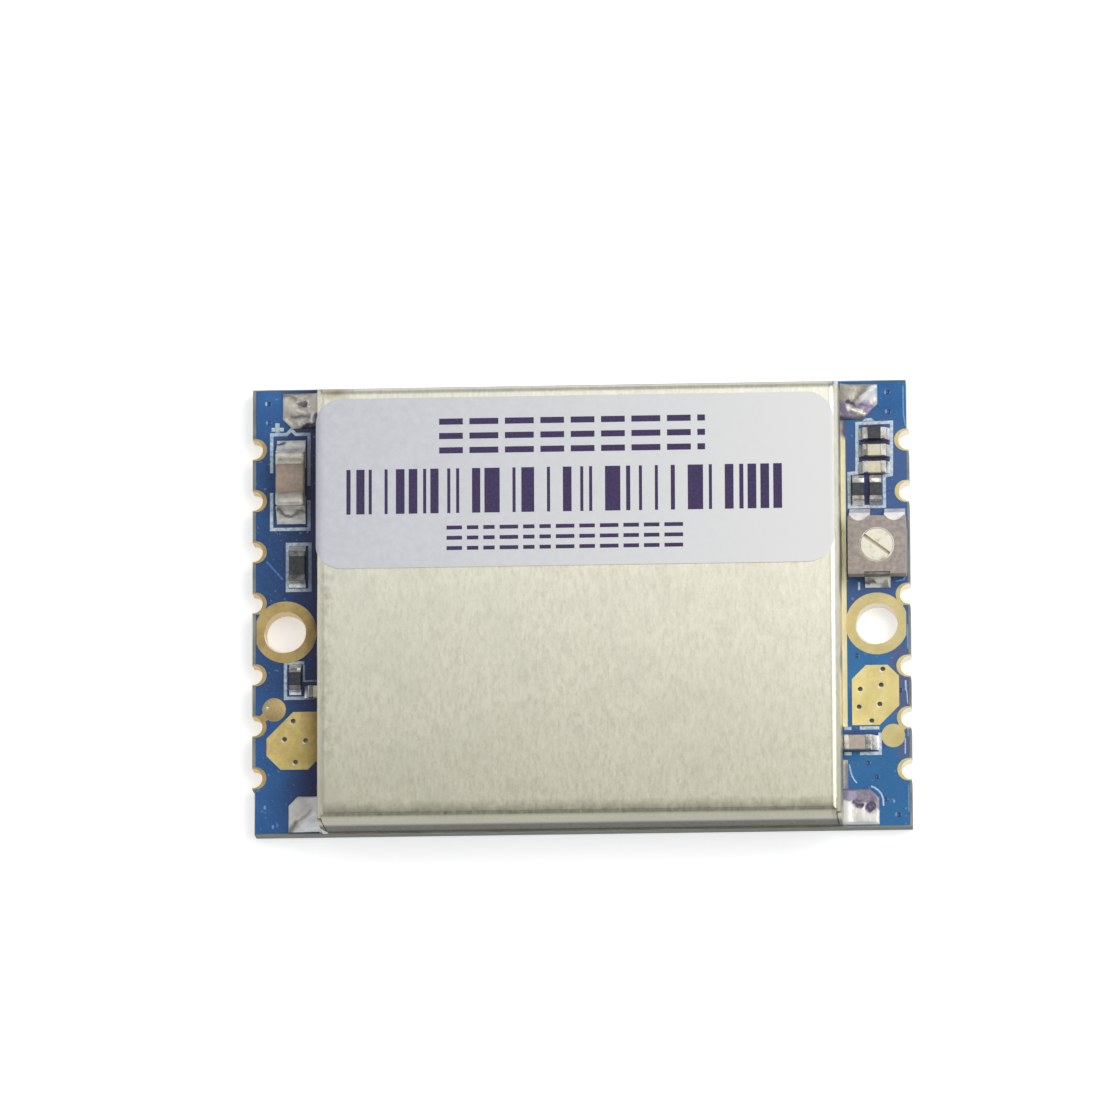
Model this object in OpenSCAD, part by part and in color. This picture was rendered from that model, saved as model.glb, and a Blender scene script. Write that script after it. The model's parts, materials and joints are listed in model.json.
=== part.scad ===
// Radio amplifier module: a board with plated half-holes along both ends, a folded shield can
// with a sticker on it, small chips and a slotted trimmer beside the can.
// Millimetres, +Z up. Origin: middle of the board, on its underside.

/* [Board] */
// Length of the board along X
board_x = 32; // [29:0.5:44]
// Width of the board along Y
board_y = 22; // [21.5:0.25:30]
// Thickness of the bare laminate
laminate_t = 1.1; // [0.5:0.1:2.5]
// Thickness of a copper land
land_t = 0.05; // [0.04:0.01:0.1]
// Thickness of the solder mask
mask_t = 0.03; // [0.02:0.01:0.04]
// Bare laminate between the mask and the left end
mask_margin_left = 0.17; // [0.05:0.01:0.3]
// Bare laminate between the mask and the right end
mask_margin_right = 0.1; // [0.05:0.01:0.3]
// Bare laminate between the mask and the front and back edges
mask_margin_y = 0.05; // [0.02:0.01:0.15]
// Depth of the routed step in the outline at a corner
corner_step = 0.12; // [0.05:0.01:0.3]

/* [Half-holes] */
// Distance between half-holes along an end
pitch = 2.54; // [2.4:0.02:3]
// Wider distance between the two rows beside a mounting hole
wide_pitch = 3.54; // [3.3:0.02:4.5]
// Shift of the rows' middle from the board's middle
rows_shift = -0.1; // [-0.4:0.05:0.2]
// Radius of a half-hole inside its plating
half_hole_r = 0.48; // [0.35:0.01:0.54]
// Distance from the board's end to a half-hole's centre
half_hole_inset = 0.02; // [0:0.01:0.1]
// Width of the land at a half-hole's inner end
half_hole_land_w = 0.2; // [0.15:0.01:0.32]
// Width of the land beside a half-hole
half_hole_side_w = 0.065; // [0.06:0.005:0.15]
// Thickness of the plating in half-holes and vias
plating_t = 0.05; // [0.02:0.01:0.08]

/* [Mounting holes] */
// Radius of a mounting hole inside its plating
mount_hole_r = 1; // [0.8:0.05:1.2]
// Width of the land round a mounting hole
mount_land_w = 0.525; // [0.3:0.025:0.6]
// Distance from the board's end to a mounting hole's centre
mount_hole_inset = 1.62; // [1.5:0.02:1.75]
// Distance of a mounting hole in front of the fourth half-hole
mount_hole_drop = 1.44; // [1.3:0.02:1.6]
// Thickness of the plating in a mounting hole
mount_plating_t = 0.2; // [0.16:0.01:0.3]
// Bare board between a mounting land and the board's end
mount_land_edge = 0.2; // [0.1:0.05:0.3]

/* [Test pads] */
// Radius of a test pad
test_pad_r = 0.575; // [0.4:0.025:0.65]
// Distance of the left pad inwards from its half-hole
test_left_in = 1.05; // [0.8:0.01:1.1]
// Distance of the left pad behind its half-hole
test_left_back = 0.82; // [0.5:0.01:0.9]
// Distance of the right pad inwards from its half-hole
test_right_in = 0.86; // [0.7:0.01:0.9]
// Distance of the right pad in front of its half-hole
test_right_front = 0.88; // [0.6:0.01:0.95]
// Width of the copper that joins a land to its half-hole
link_w = 0.4; // [0.2:0.02:0.6]

/* [Ground lands] */
// Distance of the left land from the board's end
ground_left_inset = 0.7; // [0.4:0.02:1]
// Depth of the left land along Y
ground_left_depth = 2.84; // [2.4:0.04:3.2]
// Distance of the left land's back edge behind the sixth half-hole
ground_left_rise = 0.7; // [0.3:0.01:0.75]
// Distance of the right land from the board's end
ground_right_inset = 0.58; // [0.5:0.02:1]
// Length of the right land along X
ground_right_length = 2.28; // [1.8:0.02:2.3]
// Depth of the right land along Y
ground_right_depth = 2.95; // [2.4:0.05:3.1]
// Distance of the right land's back edge behind the fifth half-hole
ground_right_rise = 0.06; // [0:0.01:0.2]
// Radius of a via inside its plating
via_r = 0.12; // [0.08:0.01:0.2]

/* [Shield can] */
// Bare strip of board between the can and the left end
left_strip = 3.44; // [3.4:0.02:4.5]
// Bare strip of board between the can and the right end
right_strip = 3.3; // [3.2:0.05:4.5]
// Distance of the can from the board's front edge
can_front_gap = 0.07; // [0.05:0.01:1]
// Distance of the can from the board's back edge
can_back_gap = 0.7; // [0.5:0.05:1.5]
// Height of the can above the board's lands
can_h = 3.6; // [2.8:0.1:6]
// Thickness of the can's sheet
sheet_t = 0.2; // [0.15:0.01:0.35]
// Outer radius of the can's folds
bend_r = 0.4; // [0.4:0.05:0.8]
// Distance of the front wall's ends from the can's sides
front_wall_inset = 0.24; // [0.24:0.02:0.5]
// Depth of the notch through the folds at a front corner
front_relief = 0.14; // [0.06:0.02:0.4]
// Distance of the back wall's ends from the can's sides
back_wall_inset = 0.26; // [0.24:0.02:0.5]
// Depth of the notch through the folds at a back corner
back_relief = 0.1; // [0.06:0.02:0.4]
// Height of the notches over the signal chips
feed_notch_h = 0.95; // [0.7:0.05:1.5]
// Room beside a signal chip in its notch
feed_notch_room = 0.45; // [0.2:0.05:0.5]
// Width of the can's land inside the wall's outer face
can_land_in = 0.6; // [0.4:0.05:1]
// Width of the can's land outside the left wall
can_land_left = 0.15; // [0.05:0.05:0.3]
// Width of the can's land outside the right wall
can_land_right = 0.22; // [0.2:0.02:0.45]
// Width of the can's land outside the front and back walls
can_land_y = 0.02; // [0.02:0.01:0.05]

/* [Corner solder] */
// Reach of the back left corner pad from the can's wall
back_left_reach = 1.96; // [1.4:0.02:2.4]
// Reach of the back right corner pad from the can's wall
back_right_reach = 1.8; // [1.4:0.02:2.4]
// Reach of the front left corner pad from the can's wall
front_left_reach = 1.66; // [1.4:0.02:2.4]
// Reach of the front right corner pad from the can's wall
front_right_reach = 1.72; // [1.4:0.02:2.4]
// Depth of a corner pad along Y
corner_pad_y = 1.75; // [1.4:0.05:2]
// Chamfer of a corner pad
corner_pad_chamfer = 0.45; // [0.2:0.05:0.8]
// Chamfer of the back right corner pad
back_right_chamfer = 0.75; // [0.2:0.05:0.9]
// Distance of the back pads from the board's back edge
back_pad_gap = 0.2; // [0.1:0.02:0.5]
// Distance of the front pads from the board's front edge
front_pad_gap = 0.1; // [0.06:0.02:0.14]
// Height of the solder on the can's wall
corner_solder_h = 1.5; // [0.8:0.1:2.5]
// Thickness of the solder at the top of a corner joint
corner_solder_top = 0.3; // [0.1:0.05:0.6]
// Thickness of every solder joint at its rim
solder_rim = 0.05; // [0.03:0.01:0.1]

/* [Sticker] */
// Depth of the sticker along Y
label_depth = 8.35; // [5:0.05:14]
// Distance of the sticker from the can's back fold
label_back_gap = 0.17; // [0:0.01:2]
// Thickness of the sticker
label_t = 0.08; // [0.05:0.01:0.2]
// Radius of the sticker's corners
label_corner_r = 1.3; // [0.5:0.1:3]
// Distance of the sticker's right edge from the can's right wall
label_right_gap = 0.22; // [0:0.02:1]
// Drop of the sticker's ends over the can's folds
label_wrap = 0.25; // [0.1:0.05:0.35]

/* [Chips] */
// Length of a small chip
small_l = 1.05; // [0.8:0.05:1.1]
// Width of a small chip
small_w = 0.58; // [0.4:0.02:0.6]
// Height of a small chip
small_h = 0.4; // [0.25:0.05:0.6]
// Length of a small chip's plated end
small_end = 0.21; // [0.1:0.01:0.25]
// Length of a middle chip
middle_l = 1.5; // [1.3:0.05:1.7]
// Width of a middle chip
middle_w = 0.8; // [0.6:0.05:0.85]
// Height of a middle chip
middle_h = 0.5; // [0.3:0.05:0.65]
// Length of a middle chip's plated end
middle_end = 0.3; // [0.2:0.02:0.4]
// Length of the supply capacitor
supply_l = 2.7; // [2.4:0.1:3.2]
// Width of the supply capacitor
supply_w = 1.4; // [1.2:0.05:1.6]
// Height of the supply capacitor
supply_h = 1.15; // [0.8:0.05:1.6]
// Length of the supply capacitor's plated ends
supply_end = 0.64; // [0.3:0.02:0.8]
// Length of the signal chip
signal_l = 1.3; // [1:0.02:1.4]
// Width of the signal chip
signal_w = 0.72; // [0.5:0.02:0.85]
// Height of the signal chip
signal_h = 0.5; // [0.3:0.05:0.65]
// Length of the signal chip's plated ends
signal_end = 0.26; // [0.2:0.02:0.4]
// Reach of the solder at the signal chip's ends
signal_solder = 0.38; // [0.2:0.02:0.45]
// Thickness of the plating on a chip's ends
cap_t = 0.02; // [0.01:0.005:0.04]
// Reach of the solder at a small chip's end
small_solder = 0.22; // [0.1:0.01:0.24]
// Reach of the solder at a middle chip's end
middle_solder = 0.28; // [0.1:0.02:0.3]
// Reach of the solder at the supply capacitor's end
supply_solder = 0.72; // [0.3:0.02:0.8]
// Thickness of a chip's solder at its top
chip_solder_top = 0.03; // [0.02:0.01:0.06]
// Share of a chip's height that its solder climbs
solder_climb = 0.75; // [0.4:0.05:0.9]
// Distance of the supply capacitor's land in front of the corner pad
supply_gap = 0.6; // [0.2:0.02:0.8]
// Distance of the supply capacitor's middle from the board's end
supply_inset = 1.9; // [1.8:0.02:2.1]
// Distance of the chip stack's middle from the board's end
stack_inset = 1.66; // [1.6:0.02:2]
// Distance of the chip pair's left chip from the board's end
pair_left_inset = 2.46; // [2.4:0.02:2.55]
// Distance of the chip pair's right chip from the board's end
pair_right_inset = 1.62; // [1.4:0.02:1.7]
// Distance of the bias resistor from the board's end
bias_inset = 2.2; // [1.6:0.02:2.8]
// Distance of the bias resistor in front of the third half-hole
bias_drop = 0.77; // [0.6:0.01:1]
// Distance of the input resistor from the board's end
input_inset = 2.11; // [1.8:0.02:2.3]
// Distance of the input resistor in front of the fifth half-hole
input_drop = 0.27; // [0.22:0.01:0.5]
// Length of the input chip that stands out of the can
feed_left_out = 0.66; // [0.5:0.01:0.75]
// Distance of the input chip in front of the fifth half-hole
feed_left_drop = 0.89; // [0.6:0.01:1.2]
// Distance of the signal chip from the can's right wall
feed_right_gap = 0.05; // [0.02:0.01:0.2]
// Distance of the signal chip in front of the sixth half-hole
feed_right_drop = 1.24; // [1:0.02:1.4]

/* [Trimmer] */
// Length of the housing along X
trimmer_x = 2.82; // [2.6:0.02:3]
// Depth of the housing along Y
trimmer_y = 2.88; // [2.7:0.02:3.1]
// Height of the trimmer above its lands
trimmer_h = 1.35; // [1.25:0.05:2]
// Distance of the housing from the board's end
trimmer_edge_gap = 0.14; // [0.05:0.01:0.2]
// Distance of the housing behind the mounting land
trimmer_mount_gap = 0.68; // [0.6:0.02:1]
// Thickness of the ceramic substrate
substrate_t = 0.35; // [0.25:0.05:0.45]
// Thickness of a terminal's sheet
terminal_t = 0.1; // [0.08:0.01:0.14]
// Width of a back terminal
back_terminal_w = 1; // [0.7:0.02:1.1]
// Distance between the back terminals' centres
back_terminal_pitch = 1.7; // [1.5:0.02:1.8]
// Width of the front terminal
front_terminal_w = 1.24; // [0.8:0.02:1.4]
// Length of a terminal's foot under the substrate
terminal_foot = 0.5; // [0.3:0.05:0.7]
// Reach of the solder behind the housing
back_solder = 0.56; // [0.3:0.02:0.6]
// Reach of the solder in front of the housing
front_solder = 0.45; // [0.2:0.01:0.5]
// Radius of the scallop in the housing over a back terminal
scallop_r = 0.5; // [0.4:0.01:0.55]
// Distance of the scallop's axis behind the housing
scallop_out = 0.25; // [0.15:0.01:0.3]
// Height of the solder in a scallop
scallop_solder_h = 0.95; // [0.6:0.05:1.2]
// Thickness of the solder at its top in a scallop
scallop_solder_top = 0.2; // [0.1:0.02:0.3]
// Room behind a terminal or its solder in the housing
housing_room = 0.01; // [0.01:0.005:0.03]
// Distance of the front terminal's edge below the housing's top
front_terminal_drop = 0.1; // [0.05:0.01:0.3]
// Radius of the rotor's slotted face
rotor_r = 0.8; // [0.6:0.005:0.95]
// Radius of the rotor's flange under the housing's lip
rotor_flange_r = 1.05; // [1:0.01:1.15]
// Thickness of the rotor's flange
rotor_flange_t = 0.25; // [0.2:0.01:0.35]
// Height of the rotor's face above the housing
rotor_proud = 0.03; // [0:0.01:0.1]
// Running clearance round the rotor
rotor_gap = 0.03; // [0.02:0.01:0.08]
// Width of the rotor's slot
slot_w = 0.16; // [0.1:0.01:0.3]
// Depth of the rotor's slot
slot_depth = 0.22; // [0.1:0.02:0.35]
// Direction of the slot at rest
slot_angle = -37; // [-90:1:90]
// Thickness of the wiper's sheet
wiper_t = 0.06; // [0.04:0.01:0.08]
// Thickness of the resistive track
track_t = 0.02; // [0.01:0.005:0.03]
// Angle that the resistive track covers
track_angle = 250; // [200:5:300]

/* [Inner parts] */
// Side of the power amplifier's square package
amplifier_side = 4; // [3:0.25:4.5]
// Height of the power amplifier's package
amplifier_h = 0.9; // [0.7:0.05:1.2]
// Gap round the power amplifier's ground pad
amplifier_pad_gap = 0.35; // [0.2:0.05:0.5]
// Pads along one side of the power amplifier
amplifier_pads = 4; // [3:1:5]
// Distance from a package corner to the first pad's middle
amplifier_corner = 1.02; // [0.9:0.02:1.2]
// Length of the driver amplifier's package
driver_x = 4.5; // [4:0.1:5]
// Width of the driver amplifier's package
driver_y = 2.5; // [2:0.1:3]
// Height of the driver amplifier's package
driver_h = 1.5; // [1.2:0.1:2]
// Distance between the driver amplifier's leads
driver_pitch = 1.5; // [1.2:0.1:1.7]
// Length of the driver amplifier's leads outside the package
driver_lead = 0.9; // [0.5:0.1:1.2]
// Length of the bias regulator's package
regulator_x = 2.9; // [2.6:0.1:3.1]
// Width of the bias regulator's package
regulator_y = 1.6; // [1.4:0.1:1.8]
// Height of the bias regulator's package
regulator_h = 1.05; // [0.8:0.05:1.3]
// Distance between the bias regulator's leads
regulator_pitch = 0.95; // [0.8:0.05:1]
// Reach of the bias regulator's leads outside the package
regulator_lead = 0.6; // [0.4:0.05:0.8]
// Radius of the supply choke
choke_r = 2; // [1.5:0.1:2.3]
// Height of the supply choke
choke_h = 2; // [1.5:0.1:2.5]
// Thickness of the choke's flanges
choke_flange = 0.35; // [0.2:0.05:0.5]
// Radius of the choke's core
choke_core_r = 0.9; // [0.6:0.1:1.2]
// Distance of the winding inside the flanges' rim
choke_winding_inset = 0.25; // [0.15:0.05:0.6]
// Turns side by side on the choke
choke_turns = 5; // [3:1:7]

/* [Hidden] */
$fn = 48;

// Overshoot of a cutting shape past the face that it cuts
cut = 0.5;

// Heights of the layers
laminate_top = land_t + laminate_t;
land_top = laminate_top + land_t;

// Board and can
end_x = board_x / 2;
back_y = board_y / 2;
can_left_x = left_strip - end_x;
can_right_x = end_x - right_strip;
can_front_y = can_front_gap - back_y;
can_back_y = back_y - can_back_gap;
can_middle = [(can_left_x + can_right_x) / 2, (can_front_y + can_back_y) / 2];
can_top = land_top + can_h;

// Half-hole rows, counted from the back; the wide distance follows the fourth row
rows_before_gap = 4;
row_count = 7;
first_row = rows_shift + ((row_count - 2) * pitch + wide_pitch) / 2;
function row_y(i) = first_row - i * pitch - (i < rows_before_gap ? 0 : wide_pitch - pitch);
half_hole_x = end_x - half_hole_inset;
half_hole_land_r = half_hole_r + half_hole_side_w;
half_hole_land_x = half_hole_x + half_hole_side_w - half_hole_land_w;
left_rows = [0, 1, 2, 4, 6];
right_rows = [0, 1, 4, 6];
mount_row = 3;
test_row = 5;
ground_row = 4;
bias_row = 2;
input_row = 4;

// Mounting holes
mount_x = end_x - mount_hole_inset;
mount_y = row_y(mount_row) - mount_hole_drop;
mount_land_r = mount_hole_r + mount_land_w;

// Ground lands: left, right, front and back limits, chamfers from the front left corner round
ground_left_back = row_y(test_row) + ground_left_rise;
ground_left = [-end_x + ground_left_inset, can_left_x - can_land_left,
    ground_left_back - ground_left_depth, ground_left_back];
ground_left_chamfers = ground_left_depth * [0.243, 0.2, 0, 0.456];
ground_right_back = row_y(ground_row) + ground_right_rise;
ground_right = [end_x - ground_right_inset - ground_right_length, end_x - ground_right_inset,
    ground_right_back - ground_right_depth, ground_right_back];
ground_right_chamfers = ground_right_depth * [0, 0.32, 0.184, 0.232];

// Vias, as shares of the way from the middle of their land to its edges
left_vias = [[0, 0.68], [-0.32, 0.05], [0.47, 0], [0.09, -0.74]];
right_vias = [[0.32, 0.86], [0.24, 0.33], [-0.65, 0.2], [-0.7, -0.39], [0.18, -0.31], [-0.17, -0.86]];

// Chip sizes: length, width, height, plated end, solder reach
small_chip = [small_l, small_w, small_h, small_end, small_solder];
middle_chip = [middle_l, middle_w, middle_h, middle_end, middle_solder];
supply_chip = [supply_l, supply_w, supply_h, supply_end, supply_solder];
signal_chip_size = [signal_l, signal_w, signal_h, signal_end, signal_solder];
function land_span(chip) = chip[0] + 2 * chip[4];

// Trimmer, behind the right mounting land and at the board's end
trimmer_at = [end_x - trimmer_edge_gap - trimmer_x / 2,
    mount_y + mount_land_r + trimmer_mount_gap + trimmer_y / 2];
substrate_z = land_top + terminal_t;
housing_z = substrate_z + substrate_t;
trimmer_top = land_top + trimmer_h;
housing_h = trimmer_top - housing_z;
wiper_gap = 0.03;
wiper_z = housing_z + track_t + wiper_gap;
flange_z = wiper_z + wiper_t;
lip_z = flange_z + rotor_flange_t + rotor_gap;
front_terminal_h = trimmer_h - front_terminal_drop;

// Right cluster of chips: a pair behind the trimmer and a stack of three behind the pair. The room
// that they leave between the trimmer and the back corner pad is shared out as the gaps.
trimmer_back_y = trimmer_at[1] + trimmer_y / 2 + back_solder;
corner_pad_front = back_y - back_pad_gap - corner_pad_y;
stack_count = 3;
cluster_spare = corner_pad_front - trimmer_back_y - land_span(small_chip) - stack_count * small_w;
pair_gap_share = 0.15;
stack_gap_share = 0.06;
chip_gap_share = 0.21;
pair_y = trimmer_back_y + pair_gap_share * cluster_spare + land_span(small_chip) / 2;
pair_left_x = end_x - pair_left_inset;
pair_right_x = end_x - pair_right_inset;
stack_y = pair_y + land_span(small_chip) / 2 + stack_gap_share * cluster_spare + small_w / 2;
function stack_at(i) = [end_x - stack_inset, stack_y + i * (small_w + chip_gap_share * cluster_spare), 0];

// Chips on the board's ends: place and turn
bias_resistor_at = [bias_inset - end_x, row_y(bias_row) - bias_drop, 90];
input_resistor_at = [input_inset - end_x, row_y(input_row) - input_drop, 90];
edge_resistor_at = [stack_at(2), [pair_left_x, pair_y, 90], [pair_right_x, pair_y, 90], input_resistor_at];
feed_left_at = [can_left_x - feed_left_out + small_l / 2, row_y(input_row) - feed_left_drop, 0];
edge_capacitor_at = [stack_at(0), stack_at(1), feed_left_at];
feed_right_at = [can_right_x + feed_right_gap + signal_l / 2, row_y(test_row) - feed_right_drop, 0];
supply_at = [supply_inset - end_x, corner_pad_front - supply_gap - land_span(supply_chip) / 2, 90];

// Notches and breaks where the signal chips pass the can's walls: wall, middle along Y, width
feeds = [[can_left_x, feed_left_at[1], small_w + 2 * feed_notch_room],
    [can_right_x, feed_right_at[1], signal_w + 2 * feed_notch_room]];

// Parts under the can, as shares of the way from the can's middle to its walls, and turns
can_half = [(can_right_x - can_left_x) / 2, (can_back_y - can_front_y) / 2];
function in_can(p) = [can_middle[0] + p[0] * can_half[0], can_middle[1] + p[1] * can_half[1], p[2]];
amplifier_at = in_can([0.34, -0.16, 0]);
driver_at = in_can([-0.37, -0.21, 0]);
regulator_at = in_can([-0.44, 0.52, 0]);
choke_at = in_can([0.29, 0.5, 0]);
inner_capacitor_at = [for (p = [[0.66, -0.48, 90], [0.69, -0.06, 90], [0.69, 0.25, 90], [-0.74, -0.35, 0],
    [-0.69, 0.52, 90], [-0.13, 0.52, 90]]) in_can(p)];
inner_resistor_at = [for (p = [[0, -0.15, 90], [0, 0.06, 90], [0.11, -0.61, 0], [-0.1, -0.61, 0],
    [-0.69, 0.11, 0]]) in_can(p)];
inner_inductor_at = [for (p = [[0.74, -0.73, 0], [0.51, -0.73, 0], [0.34, -0.52, 0]]) in_can(p)];
amplifier_pad_size = [0.3, 0.45, 0.1];
amplifier_ground = amplifier_side - 2 * (amplifier_pad_size[1] + amplifier_pad_gap);
amplifier_pitch = (amplifier_side - 2 * amplifier_corner) / (amplifier_pads - 1);
driver_lead_w = 0.45;
driver_tab_w = 1.6;
driver_lead_t = 0.4;
regulator_lead_w = 0.38;
regulator_lead_t = 0.12;
regulator_stand = 0.08;
turn_r = (choke_h - 2 * choke_flange) / choke_turns / 2;
winding_r = choke_r - choke_winding_inset;
solder_hollow = 1.3;

// A rectangle with chamfered corners, from its front left corner round
function chamfered(box, c) = concat(
    c[0] > 0 ? [[box[0], box[2] + c[0]], [box[0] + c[0], box[2]]] : [[box[0], box[2]]],
    c[1] > 0 ? [[box[1] - c[1], box[2]], [box[1], box[2] + c[1]]] : [[box[1], box[2]]],
    c[2] > 0 ? [[box[1], box[3] - c[2]], [box[1] - c[2], box[3]]] : [[box[1], box[3]]],
    c[3] > 0 ? [[box[0] + c[3], box[3]], [box[0], box[3] - c[3]]] : [[box[0], box[3]]]);
function middle(box) = [(box[0] + box[1]) / 2, (box[2] + box[3]) / 2];
function share_of(box, s) = middle(box) + [s[0] * (box[1] - box[0]) / 2, s[1] * (box[3] - box[2]) / 2];

module centred_square(x, y) {
    translate([-x / 2, -y / 2]) square([x, y]);
}

module centred_block(x, y, h) {
    translate([-x / 2, -y / 2, 0]) cube([x, y, h]);
}

module place(places) {
    for (p = places) translate([p[0], p[1]]) rotate(p[2]) children();
}

module on_lands() {
    translate([0, 0, land_top]) children();
}

// Straight strip of copper from one point to another
module link(from, to) {
    way = to - from;
    translate(from) rotate(atan2(way[1], way[0])) translate([0, -link_w / 2]) square([norm(way), link_w]);
}

// Outline of the board before its holes; the back right and front left corners are stepped
module board_outline() {
    back_step = back_y - row_y(0) - half_hole_land_r;
    front_step = back_y + row_y(row_count - 1) - half_hole_land_r;
    difference() {
        centred_square(board_x, board_y);
        translate([end_x, back_y]) centred_square(2 * corner_step, 2 * back_step);
        translate([-end_x, -back_y]) centred_square(2 * corner_step, 2 * front_step);
    }
}

module half_hole_discs(side, rows, r) {
    for (i = rows) translate([side * half_hole_x, row_y(i)]) circle(r = r);
}

// Lands of half-holes, round at their inner end
module half_hole_lands(side, rows) {
    for (i = rows) {
        translate([side * half_hole_land_x, row_y(i)]) circle(r = half_hole_land_r);
        translate([side * (half_hole_land_x + end_x) / 2, row_y(i)])
            centred_square(end_x - half_hole_land_x, 2 * half_hole_land_r);
    }
}

module mount_disc(side, r) {
    translate([side * mount_x, mount_y]) circle(r = r);
}

module mount_ring(side) {
    intersection() {
        mount_disc(side, mount_land_r);
        centred_square(board_x - 2 * mount_land_edge, board_y);
    }
    link([side * mount_x, mount_y], [side * half_hole_x, row_y(mount_row)]);
}

module test_pad(side) {
    row = row_y(test_row);
    at = side < 0 ? [test_left_in - half_hole_x, row + test_left_back]
        : [half_hole_x - test_right_in, row - test_right_front];
    translate(at) circle(r = test_pad_r);
    link(at, [side * half_hole_x, row]);
}

module ground_outline(side) {
    if (side < 0) polygon(chamfered(ground_left, ground_left_chamfers));
    else polygon(chamfered(ground_right, ground_right_chamfers));
}

module ground_vias(side, r) {
    land = side < 0 ? ground_left : ground_right;
    for (v = side < 0 ? left_vias : right_vias) translate(share_of(land, v)) circle(r = r);
}

function corner_reach(side, end) = side < 0
    ? (end > 0 ? back_left_reach : front_left_reach)
    : (end > 0 ? back_right_reach : front_right_reach);

module corner_pad(side, end) {
    y1 = end > 0 ? back_y - back_pad_gap : front_pad_gap + corner_pad_y - back_y;
    y0 = y1 - corner_pad_y;
    c = side > 0 && end > 0 ? back_right_chamfer : corner_pad_chamfer;
    reach = corner_reach(side, end);
    if (side < 0) polygon(chamfered([can_left_x - reach, can_left_x, y0, y1],
        end > 0 ? [c, 0, 0, 0] : [0, 0, 0, c]));
    else polygon(chamfered([can_right_x, can_right_x + reach, y0, y1],
        end > 0 ? [0, c, 0, 0] : [0, 0, c, 0]));
}

// Land under the can's walls, with a break where each signal chip passes
module shield_outline() {
    outer = [can_left_x - can_land_left, can_right_x + can_land_right,
        can_front_y - can_land_y, can_back_y + can_land_y];
    inner = [can_left_x + can_land_in, can_right_x - can_land_in,
        can_front_y + can_land_in, can_back_y - can_land_in];
    difference() {
        union() {
            polygon(chamfered(outer, [0, 0, 0, 0]));
            for (side = [-1, 1], end = [-1, 1]) corner_pad(side, end);
        }
        polygon(chamfered(inner, [0, 0, 0, 0]));
        for (f = feeds) translate([f[0], f[1]]) centred_square(2 * can_land_in + cut, f[2]);
        for (side = [-1, 1]) mount_ring(side);
    }
}

// Two lands of a chip that lies along X
module chip_lands(chip) {
    l = chip[3] + chip[4];
    for (end = [-1, 1]) translate([end * (land_span(chip) - l) / 2, 0]) centred_square(l, chip[1]);
}

module trimmer_lands() {
    translate(trimmer_at) {
        for (end = [-1, 1])
            translate([end * back_terminal_pitch / 2, trimmer_y / 2 + (back_solder - terminal_foot) / 2])
                centred_square(back_terminal_w, terminal_foot + back_solder);
        translate([0, -trimmer_y / 2 - (front_solder - terminal_foot) / 2])
            centred_square(front_terminal_w, terminal_foot + front_solder);
    }
}

module amplifier_pad_outline() {
    centred_square(amplifier_ground, amplifier_ground);
    reach = amplifier_side / 2 - amplifier_pad_size[1] / 2;
    for (turn = [0:3], i = [0:amplifier_pads - 1])
        rotate(90 * turn) translate([(i - (amplifier_pads - 1) / 2) * amplifier_pitch, reach])
            centred_square(amplifier_pad_size[0], amplifier_pad_size[1]);
}

module driver_lead_outline() {
    half = driver_y / 2;
    for (i = [-1, 1]) translate([i * driver_pitch, -half - driver_lead / 2])
        centred_square(driver_lead_w, driver_lead);
    translate([0, -driver_lead / 2]) centred_square(driver_lead_w, driver_y + driver_lead);
    translate([0, half]) centred_square(driver_tab_w, driver_lead);
}

module regulator_places() {
    for (i = [-1, 0, 1]) translate([i * regulator_pitch, -regulator_y / 2]) children();
    for (i = [-1, 1]) rotate(180) translate([i * regulator_pitch, -regulator_y / 2]) children();
}

module component_outline() {
    place(edge_resistor_at) chip_lands(small_chip);
    place(edge_capacitor_at) chip_lands(small_chip);
    place([bias_resistor_at]) chip_lands(middle_chip);
    place([feed_right_at]) chip_lands(signal_chip_size);
    place([supply_at]) chip_lands(supply_chip);
    trimmer_lands();
    place(inner_capacitor_at) chip_lands(middle_chip);
    place(inner_inductor_at) chip_lands(middle_chip);
    place(inner_resistor_at) chip_lands(small_chip);
    place([amplifier_at]) amplifier_pad_outline();
    place([driver_at]) driver_lead_outline();
    place([regulator_at]) regulator_places()
        translate([0, -regulator_lead / 2]) centred_square(regulator_lead_w, regulator_lead);
}

// Lands that both faces of the board have
module plated_lands() {
    for (side = [-1, 1]) {
        half_hole_lands(side, side < 0 ? left_rows : right_rows);
        half_hole_lands(side, [mount_row, test_row]);
        mount_ring(side);
        ground_outline(side);
    }
}

module mask_outline() {
    intersection() {
        board_outline();
        polygon(chamfered([mask_margin_left - end_x, end_x - mask_margin_right,
            mask_margin_y - back_y, back_y - mask_margin_y], [0, 0, 0, 0]));
    }
}

// Copper of half-holes: a land on each face and the plating between them
module half_hole_copper(side, rows) {
    linear_extrude(land_t) half_hole_lands(side, rows);
    linear_extrude(land_top) half_hole_discs(side, rows, half_hole_r + plating_t);
    translate([0, 0, laminate_top]) linear_extrude(land_t) half_hole_lands(side, rows);
}

// What half-hole copper loses: the holes and all beyond the board's end
module half_hole_cut(side, rows) {
    translate([0, 0, -cut]) linear_extrude(land_top + 2 * cut) {
        half_hole_discs(side, rows, half_hole_r);
        translate([side * (end_x + board_x / 2), 0]) centred_square(board_x, 2 * board_y);
    }
}

module castellations(side, rows) {
    difference() {
        half_hole_copper(side, rows);
        half_hole_cut(side, rows);
    }
}

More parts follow.
